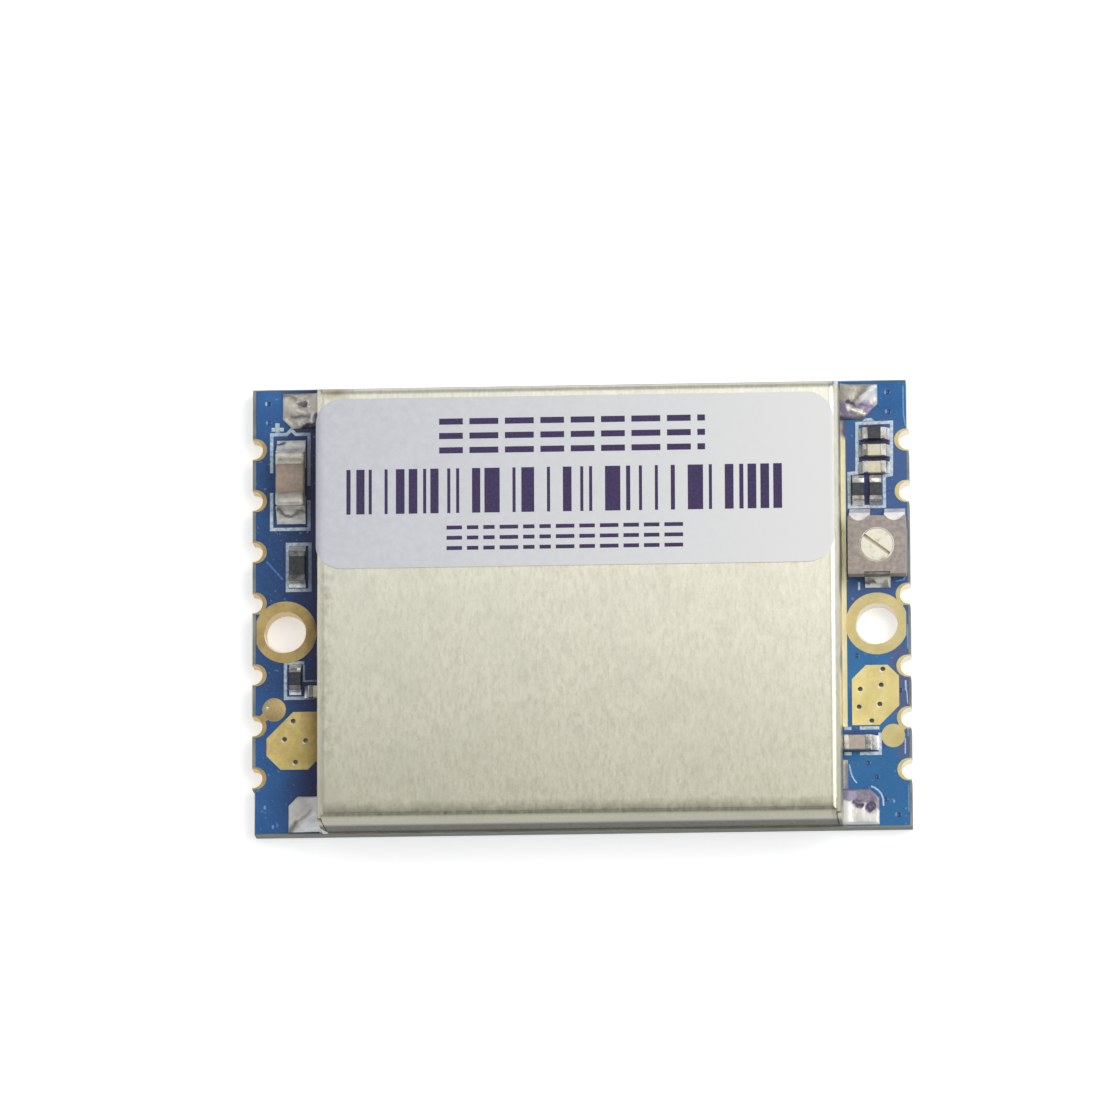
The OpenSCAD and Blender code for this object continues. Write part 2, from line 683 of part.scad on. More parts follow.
module mounting_land(side) {
    difference() {
        union() {
            half_hole_copper(side, [mount_row]);
            linear_extrude(land_t) mount_ring(side);
            linear_extrude(land_top) mount_disc(side, mount_hole_r + mount_plating_t);
            translate([0, 0, laminate_top]) linear_extrude(land_t) mount_ring(side);
        }
        half_hole_cut(side, [mount_row]);
        translate([side * mount_x, mount_y, -cut]) cylinder(r = mount_hole_r, h = land_top + 2 * cut);
    }
}

module test_land(side) {
    difference() {
        union() {
            half_hole_copper(side, [test_row]);
            translate([0, 0, laminate_top]) linear_extrude(land_t) test_pad(side);
        }
        half_hole_cut(side, [test_row]);
    }
}

module ground_land(side) {
    difference() {
        union() {
            linear_extrude(land_t) ground_outline(side);
            linear_extrude(land_top) ground_vias(side, via_r + plating_t);
            translate([0, 0, laminate_top]) linear_extrude(land_t) ground_outline(side);
        }
        translate([0, 0, -cut]) linear_extrude(land_top + 2 * cut) ground_vias(side, via_r);
    }
}

module circuit_board() {
    color([0.62, 0.66, 0.6]) translate([0, 0, land_t]) linear_extrude(laminate_t) difference() {
        board_outline();
        for (side = [-1, 1]) {
            half_hole_discs(side, side < 0 ? left_rows : right_rows, half_hole_r + plating_t);
            half_hole_discs(side, [mount_row, test_row], half_hole_r + plating_t);
            mount_disc(side, mount_hole_r + mount_plating_t);
            ground_vias(side, via_r + plating_t);
        }
    }
}

module solder_mask_top() {
    color([0.14, 0.33, 0.58]) translate([0, 0, laminate_top]) linear_extrude(mask_t) difference() {
        mask_outline();
        plated_lands();
        test_pad(-1);
        test_pad(1);
        shield_outline();
        component_outline();
    }
}

module solder_mask_bottom() {
    color([0.14, 0.33, 0.58]) translate([0, 0, land_t - mask_t]) linear_extrude(mask_t) difference() {
        mask_outline();
        plated_lands();
    }
}

module castellations_left() {
    color([0.8, 0.68, 0.4]) castellations(-1, left_rows);
}

module castellations_right() {
    color([0.8, 0.68, 0.4]) castellations(1, right_rows);
}

module mounting_land_left() {
    color([0.82, 0.72, 0.45]) mounting_land(-1);
}

module mounting_land_right() {
    color([0.82, 0.72, 0.45]) mounting_land(1);
}

module test_land_left() {
    color([0.8, 0.7, 0.45]) test_land(-1);
}

module test_land_right() {
    color([0.8, 0.7, 0.45]) test_land(1);
}

module ground_land_left() {
    color([0.78, 0.68, 0.42]) ground_land(-1);
}

module ground_land_right() {
    color([0.86, 0.79, 0.55]) ground_land(1);
}

module shield_land() {
    color([0.85, 0.76, 0.5]) translate([0, 0, laminate_top]) linear_extrude(land_t) shield_outline();
}

module component_lands() {
    color([0.8, 0.72, 0.5]) translate([0, 0, laminate_top]) linear_extrude(land_t) component_outline();
}

// Upright outline with two rounded top corners
module arch(x0, x1, z0, z1, r) {
    translate([x0, z0]) square([x1 - x0, z1 - r - z0]);
    translate([x0 + r, z0]) square([x1 - x0 - 2 * r, z1 - z0]);
    for (x = [x0 + r, x1 - r]) translate([x, z1 - r]) circle(r = r);
}

// The can's outer form, pulled in by inset and running down to z0
module can_form(inset, z0) {
    r = bend_r - inset;
    x0 = can_left_x + inset;
    x1 = can_right_x - inset;
    y0 = can_front_y + inset;
    y1 = can_back_y - inset;
    z1 = can_top - inset;
    intersection() {
        translate([0, y1, 0]) rotate([90, 0, 0]) linear_extrude(y1 - y0) arch(x0, x1, z0, z1, r);
        translate([x0, 0, 0]) rotate([90, 0, 90]) linear_extrude(x1 - x0) arch(y0, y1, z0, z1, r);
    }
}

// Gap between a side wall and the end wall at y, with a notch through their folds
module open_corner(side, y, inset, relief) {
    x = side < 0 ? can_left_x : can_right_x;
    slit = inset - sheet_t;
    translate([x, y, can_top - bend_r]) centred_block(2 * inset, 2 * relief, bend_r + cut);
    translate([x - side * (inset - slit / 2), y, land_top - cut])
        centred_block(slit, 2 * (sheet_t + cut), can_h - bend_r + 2 * cut);
}

module shield_can() {
    color([0.8, 0.79, 0.73]) difference() {
        can_form(0, land_top);
        can_form(sheet_t, land_top - cut);
        for (side = [-1, 1]) {
            open_corner(side, can_front_y, front_wall_inset, front_relief);
            open_corner(side, can_back_y, back_wall_inset, back_relief);
        }
        for (f = feeds) translate([f[0], f[1], land_top - cut])
            centred_block(2 * (sheet_t + cut), f[2], feed_notch_h + cut);
    }
}

// The sticker follows the can's top and folds, down the left one and onto the right one
module label() {
    back = can_back_y - bend_r - label_back_gap;
    x0 = can_left_x - label_t;
    x1 = can_right_x - label_right_gap;
    c = label_corner_r;
    color([0.86, 0.87, 0.88]) intersection() {
        translate([0, back, 0]) rotate([90, 0, 0]) linear_extrude(label_depth) difference() {
            arch(x0, can_right_x + label_t, land_top, can_top + label_t, bend_r + label_t);
            arch(can_left_x, can_right_x, land_top - cut, can_top, bend_r);
        }
        translate([0, 0, can_top - label_wrap]) linear_extrude(label_wrap + label_t + cut) {
            translate([x0 + c, back - label_depth]) square([x1 - x0 - 2 * c, label_depth]);
            translate([x0, back - label_depth + c]) square([x1 - x0, label_depth - 2 * c]);
            for (x = [x0 + c, x1 - c], y = [back - c, back - label_depth + c])
                translate([x, y]) circle(r = c);
        }
    }
}

// Hollow section of solder that climbs a wall at x = 0 and runs out to its rim
module solder_section(reach, height, top) {
    run = reach - top;
    rise = height - solder_rim;
    r = solder_hollow * norm([run, rise]);
    lift = sqrt(solder_hollow * solder_hollow - 1 / 4);
    difference() {
        square([reach, height]);
        translate([(reach + top) / 2 + rise * lift, (height + solder_rim) / 2 + run * lift]) circle(r = r);
    }
}

module corner_solder(side, end) {
    reach = norm([corner_reach(side, end), corner_pad_y]);
    x = side < 0 ? can_left_x : can_right_x;
    y = end > 0 ? can_back_y - back_relief : can_front_y + front_relief;
    color([0.76, 0.76, 0.76]) intersection() {
        translate([0, 0, land_top]) linear_extrude(corner_solder_h) corner_pad(side, end);
        translate([x, y, land_top]) rotate_extrude()
            solder_section(reach, corner_solder_h, corner_solder_top);
    }
}

module solder_back_left() {
    corner_solder(-1, 1);
}

module solder_back_right() {
    corner_solder(1, 1);
}

module solder_front_left() {
    corner_solder(-1, -1);
}

module solder_front_right() {
    corner_solder(1, -1);
}

// Ceramic of a chip that lies along X
module chip_core(chip) {
    translate([0, 0, cap_t]) centred_block(chip[0] - 2 * cap_t, chip[1] - 2 * cap_t, chip[2] - 2 * cap_t);
}

// Plated ends of a chip, wrapped round its ceramic
module chip_ends(chip) {
    difference() {
        for (end = [-1, 1]) translate([end * (chip[0] - chip[3]) / 2, 0, 0])
            centred_block(chip[3], chip[1], chip[2]);
        chip_core(chip);
    }
}

module chip_solder(chip) {
    for (turn = [0, 180]) rotate(turn) translate([chip[0] / 2, chip[1] / 2, 0]) rotate([90, 0, 0])
        linear_extrude(chip[1])
        solder_section(chip[4], chip[2] * solder_climb, chip_solder_top);
}

module supply_capacitor() {
    color([0.55, 0.48, 0.42]) on_lands() place([supply_at]) chip_core(supply_chip);
}

module supply_capacitor_ends() {
    color([0.72, 0.71, 0.65]) on_lands() place([supply_at]) chip_ends(supply_chip);
}

module supply_capacitor_solder() {
    color([0.78, 0.78, 0.76]) on_lands() place([supply_at]) chip_solder(supply_chip);
}

module edge_capacitors() {
    color([0.86, 0.84, 0.74]) on_lands() place(edge_capacitor_at) chip_core(small_chip);
}

module edge_resistors() {
    color([0.2, 0.2, 0.22]) on_lands() {
        place(edge_resistor_at) chip_core(small_chip);
        place([bias_resistor_at]) chip_core(middle_chip);
    }
}

module signal_chip() {
    color([0.75, 0.71, 0.64]) on_lands() place([feed_right_at]) chip_core(signal_chip_size);
}

module edge_chip_ends() {
    color([0.8, 0.8, 0.78]) on_lands() {
        place(edge_resistor_at) chip_ends(small_chip);
        place(edge_capacitor_at) chip_ends(small_chip);
        place([bias_resistor_at]) chip_ends(middle_chip);
        place([feed_right_at]) chip_ends(signal_chip_size);
    }
}

module edge_chip_solder() {
    color([0.78, 0.78, 0.78]) on_lands() {
        place(edge_resistor_at) chip_solder(small_chip);
        place(edge_capacitor_at) chip_solder(small_chip);
        place([bias_resistor_at]) chip_solder(middle_chip);
        place([feed_right_at]) chip_solder(signal_chip_size);
    }
}

// Two terminals at the trimmer's back and one at its front
module at_terminals() {
    translate([trimmer_at[0], trimmer_at[1], land_top]) {
        for (end = [-1, 1]) translate([end * back_terminal_pitch / 2, trimmer_y / 2, 0])
            rotate(180) children(0);
        translate([0, -trimmer_y / 2, 0]) children(1);
    }
}

// A folded terminal: a foot under the substrate and a tab up its face
module terminal(w, h) {
    translate([-w / 2, 0, 0]) cube([w, terminal_foot, terminal_t]);
    translate([-w / 2, 0, 0]) cube([w, terminal_t, h]);
}

module trimmer_terminals() {
    color([0.7, 0.7, 0.66]) at_terminals() {
        terminal(back_terminal_w, terminal_t + substrate_t);
        terminal(front_terminal_w, front_terminal_h);
    }
}

module terminal_solder(w, reach, height, top) {
    translate([w / 2, 0, 0]) rotate([90, 0, -90]) linear_extrude(w) solder_section(reach, height, top);
}

// Solder that climbs from a back terminal into the scallop over it
module scallop_solder() {
    step = terminal_t + substrate_t;
    rise = scallop_solder_h - step;
    terminal_solder(back_terminal_w, back_solder, scallop_solder_h, scallop_solder_top);
    intersection() {
        translate([0, -scallop_out, step]) cylinder(r = scallop_r - housing_room, h = rise);
        translate([-scallop_r, 0, step]) cube([2 * scallop_r, scallop_r, rise]);
    }
}

module trimmer_solder() {
    color([0.82, 0.82, 0.82]) at_terminals() {
        scallop_solder();
        terminal_solder(front_terminal_w, front_solder, terminal_t + substrate_t, chip_solder_top);
    }
}

module trimmer_substrate() {
    color([0.9, 0.88, 0.82]) translate([trimmer_at[0], trimmer_at[1], substrate_z])
        centred_block(trimmer_x, trimmer_y - 2 * terminal_t, substrate_t);
}

module trimmer_track() {
    track_w = 0.3;
    color([0.12, 0.12, 0.13]) translate([trimmer_at[0], trimmer_at[1], housing_z])
        rotate(90 - track_angle / 2) rotate_extrude(angle = track_angle)
            translate([rotor_r - track_w, 0]) square([track_w, track_t]);
}

module trimmer_housing() {
    color([0.6, 0.57, 0.55]) translate([trimmer_at[0], trimmer_at[1], housing_z]) difference() {
        centred_block(trimmer_x, trimmer_y, housing_h);
        translate([0, 0, -cut]) cylinder(r = rotor_flange_r + rotor_gap, h = lip_z - housing_z + cut);
        cylinder(r = rotor_r + rotor_gap, h = housing_h + cut);
        translate([0, -trimmer_y / 2, -cut])
            centred_block(front_terminal_w, 2 * (terminal_t + housing_room), housing_h + 2 * cut);
        for (end = [-1, 1]) translate([end * back_terminal_pitch / 2, trimmer_y / 2 + scallop_out, -cut])
            cylinder(r = scallop_r, h = housing_h + 2 * cut);
    }
}

module trimmer_rotor() {
    color([0.9, 0.88, 0.8]) translate([trimmer_at[0], trimmer_at[1], 0]) difference() {
        union() {
            translate([0, 0, flange_z]) cylinder(r = rotor_flange_r, h = rotor_flange_t);
            translate([0, 0, flange_z]) cylinder(r = rotor_r, h = trimmer_top + rotor_proud - flange_z);
        }
        translate([0, 0, trimmer_top + rotor_proud - slot_depth]) rotate(slot_angle)
            centred_block(4 * rotor_r, slot_w, slot_depth + cut);
    }
}

// Sheet disc under the rotor with a finger that runs over the track
module trimmer_wiper() {
    finger_w = 0.36;
    color([0.75, 0.7, 0.5]) translate([trimmer_at[0], trimmer_at[1], wiper_z]) difference() {
        cylinder(r = rotor_r, h = wiper_t);
        for (side = [-1, 1]) rotate(slot_angle)
            translate([side * (finger_w / 2 + rotor_r), rotor_r / 2, -cut])
                centred_block(2 * rotor_r, rotor_r, wiper_t + 2 * cut);
    }
}

module power_amplifier_pads() {
    color([0.75, 0.75, 0.72]) on_lands() place([amplifier_at])
        linear_extrude(amplifier_pad_size[2]) amplifier_pad_outline();
}

module power_amplifier() {
    color([0.15, 0.15, 0.16]) on_lands() place([amplifier_at]) difference() {
        centred_block(amplifier_side, amplifier_side, amplifier_h);
        translate([0, 0, -cut]) linear_extrude(amplifier_pad_size[2] + cut) amplifier_pad_outline();
    }
}

module driver_amplifier_leads() {
    color([0.75, 0.75, 0.72]) on_lands() place([driver_at]) linear_extrude(driver_lead_t)
        driver_lead_outline();
}

module driver_amplifier() {
    color([0.15, 0.15, 0.16]) on_lands() place([driver_at]) difference() {
        centred_block(driver_x, driver_y, driver_h);
        translate([0, 0, -cut]) linear_extrude(driver_lead_t + cut) driver_lead_outline();
    }
}

// One gull-wing lead, bent down from the package's side to its foot
module regulator_lead_form() {
    knee = regulator_lead / 3;
    top = regulator_stand + regulator_h / 2;
    t = regulator_lead_t;
    translate([-regulator_lead_w / 2, 0, 0]) rotate([90, 0, 90]) linear_extrude(regulator_lead_w) polygon([
        [0, top], [0, top - t], [-knee + t / 2, top - t], [-knee + t / 2, 0],
        [-regulator_lead, 0], [-regulator_lead, t], [-knee - t / 2, t], [-knee - t / 2, top]]);
}

module bias_regulator_leads() {
    color([0.75, 0.75, 0.72]) on_lands() place([regulator_at]) regulator_places() regulator_lead_form();
}

module bias_regulator() {
    color([0.15, 0.15, 0.16]) on_lands() place([regulator_at]) translate([0, 0, regulator_stand])
        centred_block(regulator_x, regulator_y, regulator_h);
}

module choke_core() {
    color([0.25, 0.24, 0.24]) on_lands() place([choke_at]) {
        cylinder(r = choke_r, h = choke_flange);
        cylinder(r = choke_core_r, h = choke_h);
        translate([0, 0, choke_h - choke_flange]) cylinder(r = choke_r, h = choke_flange);
    }
}

module choke_winding() {
    color([0.72, 0.42, 0.25]) on_lands() place([choke_at]) rotate_extrude() {
        translate([choke_core_r, choke_flange])
            square([winding_r - turn_r - choke_core_r, choke_h - 2 * choke_flange]);
        for (i = [0:choke_turns - 1])
            translate([winding_r - turn_r, choke_flange + (2 * i + 1) * turn_r]) circle(r = turn_r);
    }
}

module inner_capacitors() {
    color([0.6, 0.5, 0.4]) on_lands() place(inner_capacitor_at) chip_core(middle_chip);
}

module inner_resistors() {
    color([0.15, 0.15, 0.17]) on_lands() place(inner_resistor_at) chip_core(small_chip);
}

module inner_inductors() {
    color([0.8, 0.8, 0.78]) on_lands() place(inner_inductor_at) chip_core(middle_chip);
}

module inner_chip_ends() {
    color([0.8, 0.8, 0.78]) {
        on_lands() place(inner_capacitor_at) chip_ends(middle_chip);
        on_lands() place(inner_inductor_at) chip_ends(middle_chip);
        on_lands() place(inner_resistor_at) chip_ends(small_chip);
    }
}

module inner_chip_solder() {
    color([0.78, 0.78, 0.78]) {
        on_lands() place(inner_capacitor_at) chip_solder(middle_chip);
        on_lands() place(inner_inductor_at) chip_solder(middle_chip);
        on_lands() place(inner_resistor_at) chip_solder(small_chip);
    }
}

circuit_board();
solder_mask_top();
solder_mask_bottom();
castellations_left();
castellations_right();
mounting_land_left();
mounting_land_right();
test_land_left();
test_land_right();
ground_land_left();
ground_land_right();
shield_land();
component_lands();
shield_can();
label();
solder_back_left();
solder_back_right();
solder_front_left();
solder_front_right();
supply_capacitor();
supply_capacitor_ends();
supply_capacitor_solder();
edge_capacitors();
edge_resistors();
signal_chip();
edge_chip_ends();
edge_chip_solder();
trimmer_housing();
trimmer_substrate();
trimmer_track();
trimmer_terminals();
trimmer_solder();
trimmer_rotor();
trimmer_wiper();
power_amplifier();
power_amplifier_pads();
driver_amplifier();
driver_amplifier_leads();
bias_regulator();
bias_regulator_leads();
choke_core();
choke_winding();
inner_capacitors();
inner_resistors();
inner_inductors();
inner_chip_ends();
inner_chip_solder();
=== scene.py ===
import json
import math
import random

import bmesh
import bpy
from mathutils import Matrix, Vector, noise


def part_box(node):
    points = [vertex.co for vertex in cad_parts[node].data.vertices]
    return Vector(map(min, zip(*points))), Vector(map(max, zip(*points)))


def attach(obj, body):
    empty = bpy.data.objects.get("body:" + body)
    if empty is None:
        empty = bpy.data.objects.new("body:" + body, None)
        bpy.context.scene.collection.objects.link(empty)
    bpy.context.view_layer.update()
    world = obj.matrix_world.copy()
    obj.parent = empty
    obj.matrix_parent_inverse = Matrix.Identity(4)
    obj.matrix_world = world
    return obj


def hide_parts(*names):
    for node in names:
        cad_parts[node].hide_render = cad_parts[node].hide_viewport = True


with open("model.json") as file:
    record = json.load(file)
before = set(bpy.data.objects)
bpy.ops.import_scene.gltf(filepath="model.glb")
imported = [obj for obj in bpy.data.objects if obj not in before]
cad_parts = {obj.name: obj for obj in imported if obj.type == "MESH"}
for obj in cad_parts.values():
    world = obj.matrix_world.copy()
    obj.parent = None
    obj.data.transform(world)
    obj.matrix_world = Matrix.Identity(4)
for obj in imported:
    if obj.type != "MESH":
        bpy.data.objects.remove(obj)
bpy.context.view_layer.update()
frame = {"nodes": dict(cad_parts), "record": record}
nodes = frame["nodes"]
MM = 0.001

# Faces of the model, in millimetres like the sizes and places below
LAND_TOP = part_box("shield_land")[1].z / MM
MASK_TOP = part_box("solder_mask_top")[1].z / MM
LABEL_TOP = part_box("label")[1].z / MM
HOUSING_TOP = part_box("trimmer_housing")[1].z / MM
ROTOR_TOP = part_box("trimmer_rotor")[1].z / MM
CAN_LEFT, CAN_FRONT = (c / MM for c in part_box("shield_can")[0].xy)
CAN_RIGHT, CAN_BACK, CAN_TOP = (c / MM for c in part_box("shield_can")[1])

# Sizes of the part's source that the frame doesn't give
SHEET_T = 0.2
BEND_R = 0.4
VIA_R = 0.12
ROTOR_R = 0.8
SUPPLY_END = 0.64

# Thickness of the print and relief on the lacquer, of glints and of ink
RELIEF_T = 0.012
GLINT_T = 0.008
INK_T = 0.004


def rgb(r, g, b):
    """Linear colour of an 8-bit screen colour."""
    return tuple(
        c / 12.92 if c <= 0.04045 else ((c + 0.055) / 1.055) ** 2.4
        for c in (r / 255, g / 255, b / 255)
    ) + (1.0,)


# Materials


class Surface:
    """A procedural material: a principled shader and the nodes that feed it."""

    def __init__(self, name, **values):
        self.material = bpy.data.materials.new(name)
        self.material.use_nodes = True
        self.tree = self.material.node_tree
        self.shader = self.tree.nodes["Principled BSDF"]
        self.place = self.add("ShaderNodeTexCoord").outputs["Object"]
        for key, value in values.items():
            self.shader.inputs[key.replace("_", " ")].default_value = value

    def add(self, kind, **values):
        node = self.tree.nodes.new(kind)
        for key, value in values.items():
            setattr(node, key, value)
        return node

    def link(self, a, b):
        self.tree.links.new(a, b)

    def feed(self, sockets, values):
        """Sets each socket to its value, or links it where the value is a socket too."""
        for socket, value in zip(sockets, values):
            if isinstance(value, (tuple, float, int, Vector)):
                socket.default_value = value
            else:
                self.link(value, socket)

    def stretched(self, scale):
        node = self.add("ShaderNodeMapping")
        node.inputs["Scale"].default_value = scale
        self.link(self.place, node.inputs["Vector"])
        return node.outputs["Vector"]

    def noise(self, scale, detail=3.0, rough=0.55, stretch=None):
        """Noise with scale features to the millimetre."""
        node = self.add("ShaderNodeTexNoise")
        node.inputs["Scale"].default_value = scale / MM
        node.inputs["Detail"].default_value = detail
        node.inputs["Roughness"].default_value = rough
        self.link(self.stretched(stretch) if stretch else self.place, node.inputs["Vector"])
        return node.outputs["Fac"]

    def ramp(self, value, stops):
        node = self.add("ShaderNodeValToRGB")
        first, last = node.color_ramp.elements
        first.position, first.color = stops[0]
        last.position, last.color = stops[-1]
        for at, colour in stops[1:-1]:
            node.color_ramp.elements.new(at).color = colour
        self.link(value, node.inputs["Fac"])
        return node.outputs["Color"]

    def grey(self, value, low, high, a=0.3, b=0.7):
        """Low where the value is at a and high where it is at b."""
        node = self.add("ShaderNodeMapRange")
        sockets = (node.inputs[key] for key in ("Value", "From Min", "From Max", "To Min", "To Max"))
        self.feed(sockets, (value, a, b, low, high))
        return node.outputs["Result"]

    def mix(self, factor, a, b, how="MIX"):
        node = self.add("ShaderNodeMix", data_type="RGBA", blend_type=how)
        self.feed((node.inputs[key] for key in ("Factor", "A", "B")), (factor, a, b))
        return node.outputs["Result"]

    def maths(self, how, a, b=0.5):
        node = self.add("ShaderNodeMath", operation=how)
        self.feed(node.inputs, (a, b))
        return node.outputs["Value"]

    def both(self, a, b):
        """Where two masks meet."""
        return self.maths("MULTIPLY", a, b)

    def vector(self, how, a, b, out="Vector"):
        node = self.add("ShaderNodeVectorMath", operation=how)
        self.feed(node.inputs, (a, b))
        return node.outputs[out]

    def axis(self, name):
        node = self.add("ShaderNodeSeparateXYZ")
        self.link(self.place, node.inputs["Vector"])
        return node.outputs[name]

    def along(self, axis, low, high):
        """0 at one place along an axis and 1 at the other, in millimetres."""
        return self.grey(self.axis(axis), 0.0, 1.0, low * MM, high * MM)

    def facing(self, axis):
        """1 on faces that look along an axis and 0 on those that lie along it."""
        node = self.add("ShaderNodeSeparateXYZ")
        self.link(self.add("ShaderNodeNewGeometry").outputs["True Normal"], node.inputs["Vector"])
        return self.grey(self.maths("ABSOLUTE", node.outputs[axis]), 0.0, 1.0)

    def uneven(self, value, scale, amount):
        """A place made ragged by noise, by an amount in millimetres."""
        shake = self.maths("SUBTRACT", self.noise(scale, 4.0), 0.5)
        return self.maths("ADD", value, self.maths("MULTIPLY", shake, amount * MM))

    def streak(self, start, end, inner, outer, wobble=0.2):
        """1 near a line seen from above and 0 beyond its outer reach, in millimetres."""
        cloud = self.add("ShaderNodeTexNoise")
        cloud.inputs["Scale"].default_value = 2.6 / MM
        cloud.inputs["Detail"].default_value = 4.0
        self.link(self.place, cloud.inputs["Vector"])
        shake = self.vector("SUBTRACT", cloud.outputs["Color"], (0.5, 0.5, 0.5))
        shake = self.vector("MULTIPLY", shake, (2 * wobble * MM,) * 3)
        flat = self.vector("MULTIPLY", self.vector("ADD", self.place, shake), (1.0, 1.0, 0.0))
        first = Vector((*start, 0.0)) * MM
        way = Vector((*end, 0.0)) * MM - first
        reach = self.vector("SUBTRACT", flat, first)
        share = self.vector("DOT_PRODUCT", reach, way / way.length_squared, "Value")
        share = self.grey(share, 0.0, 1.0, 0.0, 1.0)
        foot = self.add("ShaderNodeCombineXYZ")
        self.link(self.maths("MULTIPLY", share, way.x), foot.inputs["X"])
        self.link(self.maths("MULTIPLY", share, way.y), foot.inputs["Y"])
        away = self.vector("DISTANCE", reach, foot.outputs["Vector"], "Value")
        return self.grey(away, 1.0, 0.0, inner * MM, outer * MM)

    def zoned(self, base, zones, wobble=0.2):
        """A colour with zones of another colour, for stains, painted highlights and painted shade: each is
        a line's start and end, inner and outer reach, and colour.
        """
        for start, end, inner, outer, colour in zones:
            base = self.mix(self.streak(start, end, inner, outer, wobble), base, colour)
        return base

    def wedge(self, x, y, slope, soft):
        """1 in front of a gable: two lines that fall away on both sides of a point."""
        away = self.maths("ABSOLUTE", self.maths("SUBTRACT", self.axis("X"), x * MM))
        line = self.maths("ADD", self.axis("Y"), self.maths("MULTIPLY", away, slope))
        return self.grey(self.uneven(line, 3.0, 0.3), 1.0, 0.0, (y - soft) * MM, (y + soft) * MM)

    def colour(self, socket):
        self.link(socket, self.shader.inputs["Base Color"])

    def rough(self, socket):
        self.link(socket, self.shader.inputs["Roughness"])

    def bump(self, socket, strength, depth):
        node = self.add("ShaderNodeBump")
        node.inputs["Strength"].default_value = strength
        node.inputs["Distance"].default_value = depth * MM
        self.link(socket, node.inputs["Height"])
        self.link(node.outputs["Normal"], self.shader.inputs["Normal"])


# Marks on the lacquer: other shades of it, the dull right edge, and painted shade between the right chips
OTHER_SHADES = [
    ((-14.6, 7.0), (-14.6, -3.0), 0.6, 2.6, rgb(40, 74, 126)),
    ((14.4, 7.2), (14.4, 0.6), 1.3, 2.5, rgb(66, 96, 150)),
    ((15.2, -7.6), (15.2, -10.5), 0.6, 1.8, rgb(42, 106, 160)),
]
DULL_EDGE = [((15.5, -2.6), (15.8, -7.2), 0.3, 0.7, rgb(86, 97, 140))]
# painted shade between the chips of the right end
CHIP_SHADE = [
    ((14.32, 8.2), (14.32, 6.8), 0.6, 0.85, rgb(60, 52, 86)),
    ((13.95, 5.9), (13.95, 5.3), 0.6, 0.85, rgb(60, 62, 108)),
    ((13.2, -6.8), (14.3, -6.8), 0.35, 0.62, rgb(58, 70, 126)),
]


def mask_lacquer(name, stains_and_shade):
    """Lacquer, and on the board's top also its other shades, the dull edge, painted shade between the
    right chips and the painted shadow of the can's left wall.
    """
    s = Surface(name, Roughness=0.3, Specular_IOR_Level=0.3)
    large = s.noise(0.35, 2.0)
    # painted shade: darker toward the left end, lighter toward the right
    left = s.ramp(large, [(0.3, rgb(37, 82, 142)), (0.7, rgb(52, 106, 166))])
    right = s.ramp(large, [(0.3, rgb(34, 94, 154)), (0.7, rgb(54, 126, 182))])
    base = s.mix(s.along("X", -6.0, 6.0), left, right)
    if stains_and_shade:
        base = s.zoned(base, OTHER_SHADES, 0.4)
        base = s.zoned(base, DULL_EDGE)
        base = s.zoned(base, CHIP_SHADE, 0.1)
    base = s.mix(s.grey(s.noise(9.0, 2.0), 0.0, 0.25, 0.4, 0.75), base, rgb(70, 124, 178))
    if stains_and_shade:
        # painted shadow of the can along its left wall
        can_shadow = s.both(
            s.along("X", CAN_LEFT - 2.2, CAN_LEFT - 0.3), s.along("X", CAN_LEFT + 1.6, CAN_LEFT)
        )
        base = s.mix(can_shadow, base, rgb(38, 38, 80))
    # dust
    s.colour(s.mix(s.grey(s.noise(4.5, 1.0), 0.0, 0.32, 0.7, 0.77), base, rgb(150, 178, 212)))
    s.bump(s.noise(5.0, 3.0), 0.25, 0.01)
    return s.material


def closed_via():
    """Dark glossy lacquer in the dimple over a via."""
    s = Surface("closed_via", Roughness=0.16, Specular_IOR_Level=0.6)
    s.colour(s.ramp(s.noise(3.0, 2.0), [(0.3, rgb(18, 44, 90)), (0.7, rgb(34, 76, 132))]))
    return s.material


def laminate():
    """Cut edges of the board, with the layers of its weave."""
    s = Surface("laminate", Roughness=0.6)
    weave = s.noise(2.0, 3.0, stretch=(0.4, 0.4, 6.0))
    s.colour(s.ramp(weave, [(0.3, rgb(108, 113, 102)), (0.7, rgb(155, 158, 146))]))
    s.bump(weave, 0.3, 0.02)
    return s.material


def gold(name, light, dark, rough=0.34, wall=None, zones=()):
    """Gold plate with stains and zones of painted shade, and a colour for its upright walls that stands
    for the light or shade in its holes.
    """
    s = Surface(name, Metallic=1.0, Roughness=rough)
    stain = s.noise(1.1, 4.0)
    speck = s.noise(14.0, 2.0)
    base = s.ramp(stain, [(0.3, dark), (0.65, light)])
    base = s.mix(s.grey(speck, 0.0, 0.3, 0.45, 0.8), base, light)
    base = s.mix(s.grey(s.noise(7.0, 3.0), 0.0, 0.6, 0.5, 0.75), base, dark)
    base = s.zoned(base, zones)
    s.colour(s.mix(s.facing("Z"), wall, base) if wall else base)
    s.rough(s.grey(speck, rough - 0.06, rough + 0.12))
    s.bump(speck, 0.2, 0.006)
    return s.material


